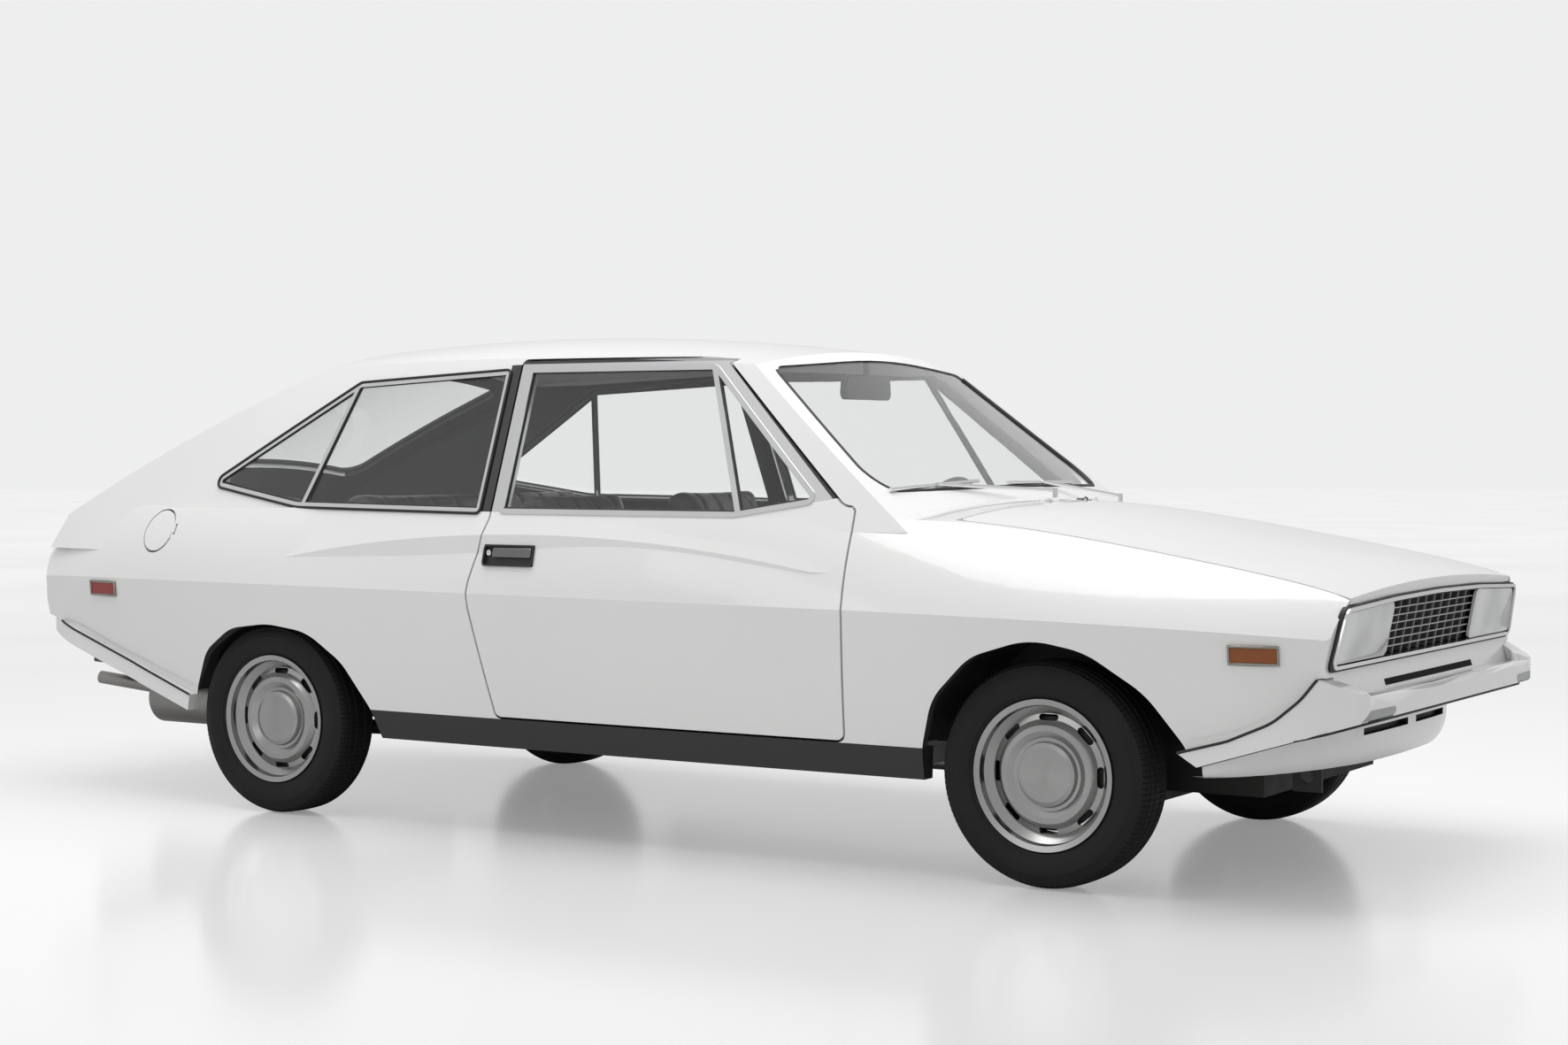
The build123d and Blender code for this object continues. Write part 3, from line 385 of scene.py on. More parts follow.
def make_inside_group():
    """A mask of the faces that look toward the middle of the cabin."""
    tree, given, result = new_group("inside_faces", [("Middle height", 0.72)], ["Mask"])
    place, _, y, z = object_place(tree)
    lift = math_node(tree, "SUBTRACT", z, given.outputs["Middle height"])
    away = tree.nodes.new("ShaderNodeCombineXYZ")
    unit = tree.nodes.new("ShaderNodeVectorMath")
    unit.operation = "NORMALIZE"
    facing = tree.nodes.new("ShaderNodeVectorMath")
    facing.operation = "DOT_PRODUCT"
    cut = tree.nodes.new("ShaderNodeMapRange")
    cut.inputs["From Min"].default_value = -0.25
    cut.inputs["From Max"].default_value = -0.35
    tree.links.new(y, away.inputs["Y"])
    tree.links.new(lift, away.inputs["Z"])
    tree.links.new(away.outputs["Vector"], unit.inputs[0])
    tree.links.new(unit.outputs["Vector"], facing.inputs[0])
    tree.links.new(place.outputs["Normal"], facing.inputs[1])
    tree.links.new(facing.outputs["Value"], cut.inputs["Value"])
    tree.links.new(cut.outputs["Result"], result.inputs["Mask"])
    return tree


def make_arch_group():
    """A mask of the faces in the wheel arches that look toward the axle, for painted shade in the arches.
    """
    tree, given, result = new_group("arch_faces", [("Reach", 0.42)], ["Mask"])
    place, x, _, z = object_place(tree)
    tilt = tree.nodes.new("ShaderNodeSeparateXYZ")
    tree.links.new(place.outputs["Normal"], tilt.inputs["Vector"])
    ahead = math_node(tree, "SUBTRACT", x, AXLES_MIDDLE)
    along = math_node(tree, "SUBTRACT", math_node(tree, "ABSOLUTE", ahead), AXLES_HALF)
    above = math_node(tree, "SUBTRACT", z, AXLE_HEIGHT)
    squares = [math_node(tree, "MULTIPLY", value, value) for value in (along, above)]
    reach = math_node(tree, "SQRT", math_node(tree, "ADD", *squares))
    lengthwise = math_node(tree, "MULTIPLY", tilt.outputs["X"], math_node(tree, "SIGN", ahead))
    upward = math_node(tree, "MULTIPLY", above, tilt.outputs["Z"])
    outward = math_node(tree, "ADD", math_node(tree, "MULTIPLY", along, lengthwise), upward)
    toward = math_node(tree, "SUBTRACT", -0.3, math_node(tree, "DIVIDE", outward, reach))
    short = math_node(tree, "SUBTRACT", given.outputs["Reach"], reach)
    near = math_node(tree, "MULTIPLY", short, 200.0, True)
    mask = math_node(tree, "MULTIPLY", near, math_node(tree, "MULTIPLY", toward, 10.0, True))
    tree.links.new(mask, result.inputs["Mask"])
    return tree


def make_surround_group():
    """Masks of the window surround on doors and quarters, black trim with painted shade of the door gaps,
    and of its bright part.
    """
    tree, given, result = new_group("window_surround", [("Edge", 900.0)], ["Mask", "Bright"])
    _, x, _, z = object_place(tree)
    sloped = math_node(tree, "MULTIPLY", math_node(tree, "SUBTRACT", x, BELT_BEND), BELT_RISE)
    rise = math_node(tree, "MAXIMUM", sloped, 0.0)
    above = math_node(tree, "SUBTRACT", math_node(tree, "SUBTRACT", z, BELT_HEIGHT), rise)
    lean = math_node(tree, "MULTIPLY", math_node(tree, "SUBTRACT", z, PILLAR_Z), PILLAR_LEAN)
    ahead = math_node(tree, "ADD", math_node(tree, "SUBTRACT", x, PILLAR_X), lean)
    nearer = math_node(tree, "MINIMUM", above, ahead)
    mask = math_node(tree, "MULTIPLY", nearer, given.outputs["Edge"], True)
    tree.links.new(mask, result.inputs["Mask"])
    below = math_node(tree, "SUBTRACT", BRIGHT_TOP, z)
    forward = math_node(tree, "MULTIPLY", x, BRIGHT_FRONT_X)
    upward = math_node(tree, "MULTIPLY", z, BRIGHT_FRONT_Z)
    behind = math_node(tree, "SUBTRACT", BRIGHT_FRONT, math_node(tree, "ADD", forward, upward))
    tipped = math_node(tree, "MULTIPLY", z, BRIGHT_REAR_LEAN)
    front = math_node(tree, "ADD", math_node(tree, "SUBTRACT", x, BRIGHT_REAR), tipped)
    inner = math_node(tree, "MINIMUM", math_node(tree, "MINIMUM", below, behind), front)
    bright = math_node(tree, "MULTIPLY", inner, given.outputs["Edge"], True)
    tree.links.new(math_node(tree, "MULTIPLY", bright, mask), result.inputs["Bright"])
    return tree


def make_slot_group():
    """A mask of the long air slot across the nose below the grille, painted near black as the shade inside
    the opening.
    """
    tree, given, result = new_group("nose_slot", [("Half length", 0.336), ("Height", 0.497)], ["Mask"])
    _, _, y, z = object_place(tree)
    aside = math_node(tree, "ABSOLUTE", y)
    within = math_node(tree, "SUBTRACT", given.outputs["Half length"], aside)
    rise = math_node(tree, "SUBTRACT", z, given.outputs["Height"])
    thin = math_node(tree, "SUBTRACT", 0.008, math_node(tree, "ABSOLUTE", rise))
    mask = math_node(tree, "MULTIPLY", math_node(tree, "MINIMUM", within, thin), 1500.0, True)
    tree.links.new(mask, result.inputs["Mask"])
    return tree


GRAIN = make_grain_group()
SLOT = make_slot_group()
INSIDE = make_inside_group()
ARCH = make_arch_group()
SURROUND = make_surround_group()


# Colours of the paint and the red lenses
ENAMEL, ENAMEL_DULL = (0.84, 0.84, 0.832), (0.82, 0.822, 0.814)
LENS_RED = (0.38, 0.018, 0.012)


class Finish:
    """A material under construction: its nodes, links and shader."""

    def __init__(self, name, color, roughness, metallic=0.0):
        self.material = bpy.data.materials.new(name)
        self.material.use_nodes = True
        self.nodes = self.material.node_tree.nodes
        self.links = self.material.node_tree.links
        self.shader = self.nodes["Principled BSDF"]
        self.shader.inputs["Base Color"].default_value = (*color, 1)
        self.shader.inputs["Roughness"].default_value = roughness
        self.shader.inputs["Metallic"].default_value = metallic

    def set(self, **values):
        """Set shader sockets by name, spaces written as underscores."""
        for key, value in values.items():
            self.shader.inputs[key.replace("_", " ")].default_value = value
        return self

    def group(self, tree, **values):
        """Place a shared group with its own values."""
        node = self.nodes.new("ShaderNodeGroup")
        node.node_tree = tree
        for key, value in values.items():
            node.inputs[key.replace("_", " ")].default_value = value
        return node

    def mix_colors(self, factor, low, high, target="Base Color"):
        """Blend two colours by a factor into a shader socket."""
        mix = self.nodes.new("ShaderNodeMix")
        mix.data_type = "RGBA"
        for socket, color in ((mix.inputs[6], low), (mix.inputs[7], high)):
            if isinstance(color, tuple):
                socket.default_value = (*color, 1)
            else:
                self.links.new(color, socket)
        self.links.new(factor, mix.inputs["Factor"])
        if target:
            self.links.new(mix.outputs[2], self.shader.inputs[target])
        return mix.outputs[2]

    def remap(self, value, low, high, target=None, start=0.0, end=1.0):
        """Map a value from one range to another, into a shader socket if named."""
        node = self.nodes.new("ShaderNodeMapRange")
        for key, number in (("From Min", start), ("From Max", end), ("To Min", low), ("To Max", high)):
            node.inputs[key].default_value = number
        self.links.new(value, node.inputs["Value"])
        if target:
            self.links.new(node.outputs["Result"], self.shader.inputs[target])
        return node.outputs["Result"]

    def ribs(self, direction, scale):
        """Even ribs across the piece, as a height from 0 to 1."""
        place = self.nodes.new("ShaderNodeTexCoord")
        wave = self.nodes.new("ShaderNodeTexWave")
        wave.bands_direction = direction
        wave.inputs["Scale"].default_value = scale
        self.links.new(place.outputs["Object"], wave.inputs["Vector"])
        return wave.outputs["Fac"]

    def bump(self, height, strength, distance):
        """Bump from a height value."""
        node = self.nodes.new("ShaderNodeBump")
        node.inputs["Strength"].default_value = strength
        node.inputs["Distance"].default_value = distance
        self.links.new(height, node.inputs["Height"])
        self.links.new(node.outputs["Normal"], self.shader.inputs["Normal"])


def grained(name, color, spread, roughness, scale, strength=0.2, metallic=0.0, distance=0.0005):
    """A finish whose tone and gloss wander a little, with fine grain."""
    finish = Finish(name, color, roughness, metallic)
    grain = finish.group(GRAIN, Scale=scale * 0.02, Detail=4.0).outputs["Grain"]
    darker = tuple(channel * (1 - spread) for channel in color)
    finish.mix_colors(finish.remap(grain, 0, 1, None, 0.3, 0.7), darker, color)
    finish.remap(grain, roughness * 0.85, min(roughness * 1.15, 1), "Roughness", 0.3, 0.7)
    fine = finish.group(GRAIN, Scale=scale, Detail=2.0).outputs["Grain"]
    finish.bump(fine, strength, distance)
    return finish


def body_paint(name, lining_and_arch_shade=None, surround=False, slotted=False):
    """Gloss white enamel: cabin trim colour on faces that look inward, painted shade in the wheel arches,
    black trim and painted shade of the door gaps round the side windows, painted shade in an air slot.
    """
    finish = Finish(name, ENAMEL, 0.22)
    finish.set(Coat_Weight=0.8, Coat_Roughness=0.03)
    tone = finish.group(GRAIN, Scale=1.6, Detail=1.0).outputs["Grain"]
    tone = finish.remap(tone, 0, 1, None, 0.35, 0.65)
    enamel = finish.mix_colors(tone, ENAMEL_DULL, ENAMEL)
    if surround:
        # black band round the side windows: black trim, with painted shade where the door gaps show the
        # dark cabin; its bright part is chrome
        band = finish.group(SURROUND)
        enamel = finish.mix_colors(band.outputs["Mask"], enamel, (0.016, 0.016, 0.016))
        enamel = finish.mix_colors(band.outputs["Bright"], enamel, (0.74, 0.74, 0.75))
        finish.links.new(band.outputs["Bright"], finish.shader.inputs["Metallic"])
    if slotted:
        # the air slot is painted near black and matt: painted shade of the opening
        dark = finish.group(SLOT).outputs["Mask"]
        enamel = finish.mix_colors(dark, enamel, (0.004, 0.004, 0.004))
        finish.remap(dark, 0.22, 1.0, "Roughness")
        finish.remap(dark, 0.8, 0.0, "Coat Weight")
    # faces that look inward take the cabin trim colour; faces in the wheel arches take the same dark colour
    # as painted shade
    if lining_and_arch_shade:
        inside, arch = finish.group(INSIDE).outputs["Mask"], finish.group(ARCH).outputs["Mask"]
        mask = math_node(finish.material.node_tree, "MAXIMUM", inside, arch)
        finish.mix_colors(mask, enamel, lining_and_arch_shade)
        finish.remap(mask, 0.2, 0.75, "Roughness")
        finish.remap(mask, 0.8, 0.0, "Coat Weight")
    peel = finish.group(GRAIN, Scale=260.0, Detail=1.0).outputs["Grain"]
    finish.bump(peel, 0.02, 0.0004)
    return finish.material


def clear_glass():
    """Clear pane that lets light through to the cabin."""
    finish = Finish("window_glass", (0.98, 0.988, 0.985), 0.0)
    finish.set(Transmission_Weight=1.0, IOR=1.45)
    path = finish.nodes.new("ShaderNodeLightPath")
    thru = finish.nodes.new("ShaderNodeBsdfTransparent")
    thru.inputs["Color"].default_value = (0.92, 0.94, 0.935, 1)
    blend = finish.nodes.new("ShaderNodeMixShader")
    finish.links.new(path.outputs["Is Shadow Ray"], blend.inputs["Fac"])
    finish.links.new(finish.shader.outputs["BSDF"], blend.inputs[1])
    finish.links.new(thru.outputs["BSDF"], blend.inputs[2])
    finish.links.new(blend.outputs["Shader"], finish.nodes["Material Output"].inputs["Surface"])
    return finish.material


def red_lens():
    """Moulded red lens with ribs, slightly see-through, darker in the troughs of the ribs as painted shade.
    """
    finish = Finish("red_lens", LENS_RED, 0.12)
    finish.set(Transmission_Weight=0.1, IOR=1.49, Coat_Weight=0.2)
    ribs = finish.ribs("Z", 60.0)
    finish.bump(ribs, 0.4, 0.001)
    # the troughs of the ribs are painted darker: painted shade in the grooves
    darker = tuple(channel * 0.6 for channel in LENS_RED)
    finish.mix_colors(ribs, darker, LENS_RED)
    return finish.material


def lamp_glass():
    """Frosted head lamp lens: upright flutes, with pale and dark blotches as painted reflection of the
    reflector behind.
    """
    finish = Finish("lamp_glass", (0.5, 0.5, 0.5), 0.16)
    finish.set(Coat_Weight=0.7, Coat_Roughness=0.04)
    # pale and dark blotches: painted reflection of the reflector behind the lens
    painted_reflection = finish.group(GRAIN, Scale=6.0, Detail=1.0).outputs["Grain"]
    finish.mix_colors(finish.remap(painted_reflection, 0, 1, None, 0.35, 0.65), (0.54, 0.545, 0.55), (0.80, 0.805, 0.805))
    finish.bump(finish.ribs("Y", 28.0), 0.25, 0.001)
    return finish.material


def marker_lens():
    """Amber side markers, clear indicators in the bumper."""
    finish = Finish("marker_lens", (0.6, 0.2, 0.03), 0.3)
    finish.set(Coat_Weight=0.15)
    _, x, _, _ = object_place(finish.material.node_tree)
    ahead = finish.remap(x, 0, 1, None, 1.99, 2.0)
    finish.mix_colors(ahead, (0.26, 0.066, 0.004), (0.33, 0.34, 0.34))
    finish.bump(finish.ribs("Z", 45.0), 0.3, 0.001)
    return finish.material


def wheel_silver():
    """Satin silver steel, spun about the wheel's axle."""
    finish = grained("wheel_silver", (0.40, 0.40, 0.395), 0.12, 0.24, 300.0, 0.05, 0.95)
    finish.set(Anisotropic=0.75)
    spin = finish.nodes.new("ShaderNodeTangent")
    spin.direction_type = "RADIAL"
    spin.axis = "Y"
    finish.links.new(spin.outputs["Tangent"], finish.shader.inputs["Tangent"])
    return finish.material


PAINT = body_paint("white_enamel", (0.028, 0.028, 0.029))
PLAIN_PAINT = body_paint("white_enamel_plain")
ROOF_PAINT = body_paint("white_enamel_headliner", (0.78, 0.78, 0.76))
SIDE_PAINT = body_paint("white_enamel_sides", (0.050, 0.050, 0.051), True)
GLASS = clear_glass()
CHROME = grained("bright_trim", (0.78, 0.78, 0.79), 0.05, 0.14, 400.0, 0.03, 1.0).material
BLACK_PAINT = grained("black_sill_paint", (0.022, 0.022, 0.023), 0.2, 0.42, 500.0, 0.1).material
RUBBER = grained("black_rubber", (0.014, 0.014, 0.014), 0.25, 0.55, 900.0, 0.2).material
PLASTIC = grained("black_plastic", (0.018, 0.018, 0.019), 0.2, 0.4, 1400.0, 0.25).material
TRIM = grained("cabin_plastic", (0.03, 0.03, 0.031), 0.2, 0.6, 1600.0, 0.4).material
IRON = grained("cast_iron", (0.05, 0.048, 0.046), 0.4, 0.65, 420.0, 0.5, 0.4).material
STEEL = grained("dull_steel", (0.34, 0.33, 0.32), 0.25, 0.35, 200.0, 0.15, 0.9).material
TYRE_RUBBER = grained("tyre_rubber", (0.0115, 0.0115, 0.012), 0.3, 0.66, 700.0, 0.3)
TYRE = TYRE_RUBBER.set(Specular_IOR_Level=0.3).material
SILVER = wheel_silver()
LEATHER = grained("black_leather", (0.034, 0.034, 0.035), 0.3, 0.38, 900.0, 0.5).material
RED = red_lens()
LAMP = lamp_glass()
MARKER = marker_lens()
NOSE_PAINT = body_paint("white_enamel_nose", None, False, True)
# near-black finish of the grille back, painted shade behind the grille
GRILLE_BLACK = grained("grille_black", (0.004, 0.004, 0.004), 0.3, 0.85, 900.0, 0.2).material
GRILLE_SILVER = grained("grille_silver", (0.50, 0.50, 0.50), 0.1, 0.3, 300.0, 0.05, 0.8).material
MARKER_FRAME = grained("marker_frame", (0.33, 0.31, 0.28), 0.1, 0.25, 300.0, 0.05, 0.9).material
HANDLE_STEEL = grained("handle_steel", (0.20, 0.20, 0.205), 0.1, 0.25, 300.0, 0.05, 0.9).material

FINISHES = [
    # finish, nodes that take it
    (PAINT, ["hatch", "tail_panel", "hood", "scuttle", "front_wing_right", "front_wing_left"]),
    (PLAIN_PAINT, ["fuel_flap", "nose_panel", "front_bumper", "rear_bumper"]),
    (ROOF_PAINT, ["roof"]),
    (SIDE_PAINT, ["door_right", "door_left", "quarter_panel_right", "quarter_panel_left"]),
    (CHROME, ["door_frame_right", "door_frame_left", "quarter_frames", "grille_frame", "wipers"]),
    (GLASS, ["door_glass_right", "door_glass_left", "quarter_glass", "windscreen", "hatch_glass"]),
    (PLASTIC, ["door_handle_right", "door_handle_left", "grille"]),
    (LAMP, ["head_lamps"]),
    (MARKER, ["front_markers"]),
    (RED, ["tail_lamps"]),
    (BLACK_PAINT, ["sills", "wheel_wells", "floor_pan"]),
    (IRON, ["engine", "front_subframe", "knuckle_right", "knuckle_left", "rear_axle"]),
    (STEEL, ["exhaust", "fuel_tank"]),
    (TRIM, ["dashboard", "steering_wheel", "interior_mirror", "front_seats", "rear_seat"]),
    (TYRE, [f"tyre_{end}_{side}" for end, side in WHEELS]),
    (SILVER, [f"wheel_{end}_{side}" for end, side in WHEELS]),
]
for finish, names in FINISHES:
    for name in names:
        mesh = nodes[name].data
        mesh.materials.clear()
        mesh.materials.append(finish)


def make_tyre(end, side):
    """A tyre with ribbed tread and cut shoulder blocks, in place of its plain solid."""
    node = f"tyre_{end}_{side}"
    low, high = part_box(node)
    centre = (low + high) / 2
    profile = TYRE_PROFILE + [(-out, radius) for out, radius in reversed(TYRE_PROFILE)]
    obj = spun(profile, TYRE_STEPS, centre)

    def on_tread(place, normal):
        radius = math.hypot(place.x - centre.x, place.z - centre.z)
        outward = (normal.x * (place.x - centre.x) + normal.z * (place.z - centre.z)) / radius
        groove = abs(radius - GROOVE_RADIUS) < 0.0005
        return radius > SHOULDER_FROM and outward > 0.5 and not groove

    pick_faces(obj, on_tread)
    bpy.ops.mesh.inset(thickness=TREAD_GAP, depth=TREAD_RISE, use_individual=True, use_even_offset=True)
    finish_piece(obj, f"tyre_with_tread_{end}_{side}", TYRE, f"wheel_{end}_{side}", 30)
    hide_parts(node)


def make_brake_drum(end, side):
    """An iron brake drum that closes the view through the wheel's slots."""
    low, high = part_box(f"wheel_{end}_{side}")
    centre = (low + high) / 2
    obj = spun(DRUM_PROFILE, DRUM_STEPS, centre, math.copysign(1, centre.y))
    finish_piece(obj, f"brake_drum_{end}_{side}", IRON, f"wheel_{end}_{side}", 30)


def make_gasket(node, name, radius, material, body, keep):
    """Round beading along the sharp edges of a piece, or along those whose ends pass a test."""
    obj = copy_of(node, name)
    bpy.ops.mesh.select_mode(type="EDGE")
    bpy.ops.mesh.select_all(action="DESELECT")
    bpy.ops.mesh.edges_select_sharp(sharpness=math.radians(50))
    if keep:
        bpy.ops.object.mode_set(mode="OBJECT")
        points = [vertex.co for vertex in obj.data.vertices]
        for edge in obj.data.edges:
            edge.select = edge.select and all(keep(points[end]) for end in edge.vertices)
        bpy.ops.object.mode_set(mode="EDIT")
    bpy.ops.mesh.select_all(action="INVERT")
    bpy.ops.mesh.delete(type="EDGE_FACE")
    make_bead(obj, name, radius, material, body)


def make_bead(obj, name, radius, material, body, paired=False):
    """Round bead along an object's edges, with its twin on the other side if asked."""
    select_only(obj)
    bpy.ops.object.convert(target="CURVE")
    obj = bpy.context.active_object
    obj.data.bevel_depth = radius
    obj.data.bevel_resolution = 2
    bpy.ops.object.convert(target="MESH")
    obj = bpy.context.active_object
    if paired:
        add_twin(obj)
    face_outward(obj)
    finish_piece(obj, name, material, body, 60)


def on_ear_top(point, ear):
    """Whether a point of a bumper lies on the upper outer edge of an ear."""
    middle, outer, end = ear
    upper = point.z > line_at(point.x, *middle) and abs(point.y) > line_at(point.x, *outer)
    return upper and abs(point.x) < abs(end)


def on_front_marker(point):
    """Whether a point of the front markers lies on the outside of a side marker."""
    return point.x < MARKER_END and abs(point.y) > line_at(point.x, *MARKER_OUTER)


def on_rear_marker(point):
    """Whether a point of the tail lamps lies on the outside of a side marker."""
    return point.x > REAR_MARKER_END and abs(point.y) > REAR_MARKER_OUTER


def away_from(node, distance):
    """A test for points further than a distance from a piece's own points."""
    vertices = nodes[node].data.vertices
    tree = kdtree.KDTree(len(vertices))
    for number, vertex in enumerate(vertices):
        tree.insert(vertex.co, number)
    tree.balance()
    return lambda point: tree.find(point)[2] > distance


def nose_point(y, z, out):
    """A point on the nose plane, moved out along its normal."""
    size = math.hypot(1, NOSE_LEAN)
    x = NOSE_X - NOSE_LEAN * (NOSE_Z - z)
    return (x + out / size, y, z - NOSE_LEAN * out / size)


def nose_push(depth):
    """A step along the nose plane's normal."""
    size = math.hypot(1, NOSE_LEAN)
    return (depth / size, 0, -NOSE_LEAN * depth / size)


def arched(z, y):
    """Height of the frame's arched top beside its middle."""
    return z - FRAME_DROP * y ** 2


def frame_outline(grow, out):
    """Corner points of the lamp and grille frame, grown all round."""
    low, half_low, half_high = FRAME_LOW - grow, FRAME_HALF_LOW + grow, FRAME_HALF_HIGH + grow
    places = (half_high, 0.32, 0, -0.32, -half_high)
    top = [(y, arched(FRAME_HIGH + grow * 0.3, y)) for y in places]
    return [nose_point(y, z, out) for y, z in [(-half_low, low), (half_low, low), *top]]


def make_frame():
    """Bright frame round the lamps and the grille, with its seal."""
    seal = plate(frame_outline(0.007, -0.004), FRAME_CORNER, nose_push(0.010), 0.016)
    finish_piece(seal, "front_frame_seal", RUBBER, "body")
    rim = plate(frame_outline(0.0, 0.002), FRAME_CORNER, nose_push(0.011), 0.009)
    finish_piece(rim, "front_frame_rim", CHROME, "body", 30)
    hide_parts("grille_frame")


def make_lamps():
    """Head lamp lenses in the frame, one on each side of the grille."""
    low, high = FRAME_LOW + LAMP_MARGIN, FRAME_HIGH - TOP_MARGIN
    corners = [
        (LAMP_INNER, low), (FRAME_HALF_LOW - LAMP_MARGIN, low),
        (FRAME_HALF_HIGH - TOP_MARGIN, arched(high, FRAME_HALF_HIGH)),
        (LAMP_INNER, arched(high, LAMP_INNER)),
    ]
    for side, name in ((-1, "head_lamp_lens_right"), (1, "head_lamp_lens_left")):
        lens = plate([nose_point(side * y, z, 0.001) for y, z in corners], 0.018, nose_push(0.007))
        pick_faces(lens, lambda place, normal: normal.x > 0.9)
        bpy.ops.mesh.inset(thickness=0.006, depth=0.0025)
        finish_piece(lens, name, LAMP, "body", 25)
    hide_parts("head_lamps")


def make_grille():
    """Near-black grille back, a dark sheet of painted shade behind the openings, with a lattice of thin
    bars before it.
    """
    low, high = FRAME_LOW + GRILLE_MARGIN, FRAME_HIGH - TOP_MARGIN
    side_high = arched(high, LAMP_INNER)
    reach = LAMP_INNER - GRILLE_GAP
    corners = [(-reach, low), (reach, low), (reach, side_high), (0, high), (-reach, side_high)]
    # near-black plate behind the bars: painted shade of the dark space behind the grille
    back = plate([nose_point(y, z, -0.012) for y, z in corners], 0.004, nose_push(0.004))
    finish_piece(back, "grille_back", GRILLE_BLACK, "body")
    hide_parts("grille")
    spans = []
    for row in range(1, GRILLE_ROWS):
        z = low + (side_high - low) * row / GRILLE_ROWS
        spans.append(((-reach, z - BAR_HALF), (reach, z + BAR_HALF)))
    for column in range(1, GRILLE_COLUMNS):
        y = -reach + 2 * reach * column / GRILLE_COLUMNS
        spans.append(((y - BAR_HALF, low), (y + BAR_HALF, side_high)))
    bars = []
    for span in spans:
        corners = [nose_point(y, z, -0.004) for y, z in rectangle(*span)]
        bars.append(plate(corners, 0.0004, nose_push(BAR_DEPTH)))
    join(bars)
    finish_piece(bars[0], "grille_bars", GRILLE_SILVER, "body", 30)


def make_blade():
    """Front bumper blade with its lenses, the nose panel above it and the seal below."""
    rise = math.hypot(1, BUMPER_RISE)
    upward = (-BUMPER_RISE / rise, 0, 1 / rise)
    blade = trimmed("front_bumper", "front_bumper_blade", BUMPER_CUT, upward, PLAIN_PAINT)
    edit(blade)
    for y in (-BLADE_HALF, BLADE_HALF):
        bpy.ops.mesh.select_all(action="SELECT")
        bpy.ops.mesh.bisect(plane_co=(0, y, 0), plane_no=(0, 1, 0))
    pick_faces(blade, lambda place, normal: abs(place.y) < BLADE_HALF)
    bpy.ops.mesh.bisect(plane_co=(0, 0, BLADE_TOP), plane_no=(0, 0, 1), clear_outer=True)
    bpy.ops.mesh.select_all(action="SELECT")
    bpy.ops.mesh.fill_holes(sides=0)
    face_outward(blade)
    lifted = (BUMPER_CUT[0], 0, BUMPER_CUT[2] + MARKER_LIFT)
    trimmed("front_markers", "front_marker_lenses", lifted, upward, MARKER)
    trimmed("nose_panel", "nose_skin", (0, 0, NOSE_FOOT), (0, 0, 1), NOSE_PAINT)
    seal = []
    for x, y in BLADE_PLAN:
        seal.append((x + SEAL_AHEAD * (x > SEAL_NOSE), y * SEAL_WIDER, blade_foot(x) - SEAL_DROP))
    make_bead(chain(seal), "front_bumper_seal", 0.003, RUBBER, "body", True)


def blade_foot(x):
    """Height at which the chin and its shelf meet the bumper blade."""
    return line_at(x, BUMPER_CUT[0], BUMPER_CUT[2], BUMPER_RISE) + BLADE_LIFT


def make_chin():
    """Rounded chin under the bumper with its air slots, shallow recesses whose black faces are painted
    shade of open slots, and the shelf that joins it to the blade.
    """
    chin = chain([(x, y, blade_foot(x)) for x, y in CHIN_PLAN])
    chin.data.materials.append(PLAIN_PAINT)
    chin.data.materials.append(RUBBER)
    bpy.ops.mesh.subdivide(number_cuts=2, smoothness=0.5)
    bpy.ops.mesh.select_all(action="SELECT")
    for shrink in CHIN_STEPS:
        bpy.ops.mesh.extrude_region_move(TRANSFORM_OT_translate={"value": (0, 0, 0)})
        bpy.ops.transform.resize(value=shrink, center_override=CHIN_CENTRE)
    bpy.ops.mesh.extrude_region_move(TRANSFORM_OT_translate={"value": CHIN_FLANGE})
    chin.active_material_index = 1

    def on_slot(place, normal):
        return AIR_SLOT[0] < -place.y < AIR_SLOT[1] and AIR_SLOT_LOW < place.z < AIR_SLOT_HIGH

    # the slots are pushed in and their faces, with a ring round them, take the black rubber finish: painted
    # shade of open slots
    pick_faces(chin, on_slot)
    bpy.ops.mesh.extrude_region_move(TRANSFORM_OT_translate={"value": (-AIR_SLOT_DEPTH, 0, 0)})
    bpy.ops.mesh.select_more()
    bpy.ops.object.material_slot_assign()
    shelf = chain([(x, y, blade_foot(x)) for x, y in BLADE_PLAN])
    bpy.ops.mesh.subdivide(number_cuts=2, smoothness=0.5)
    join([chin, shelf])
    edit(chin, "EDGE")
    bpy.ops.object.mode_set(mode="OBJECT")
    rims = [abs(vertex.co.z - blade_foot(vertex.co.x)) < 0.002 for vertex in chin.data.vertices]
    for edge in chin.data.edges:
        edge.select = all(rims[number] for number in edge.vertices)
    bpy.ops.object.mode_set(mode="EDIT")
    bpy.ops.mesh.bridge_edge_loops()
    bpy.ops.mesh.select_all(action="SELECT")
    bpy.ops.mesh.remove_doubles(threshold=0.0002)
    bpy.ops.object.mode_set(mode="OBJECT")
    add_twin(chin)
    face_outward(chin)
    finish_piece(chin, "front_valance", PLAIN_PAINT, "body", 35)


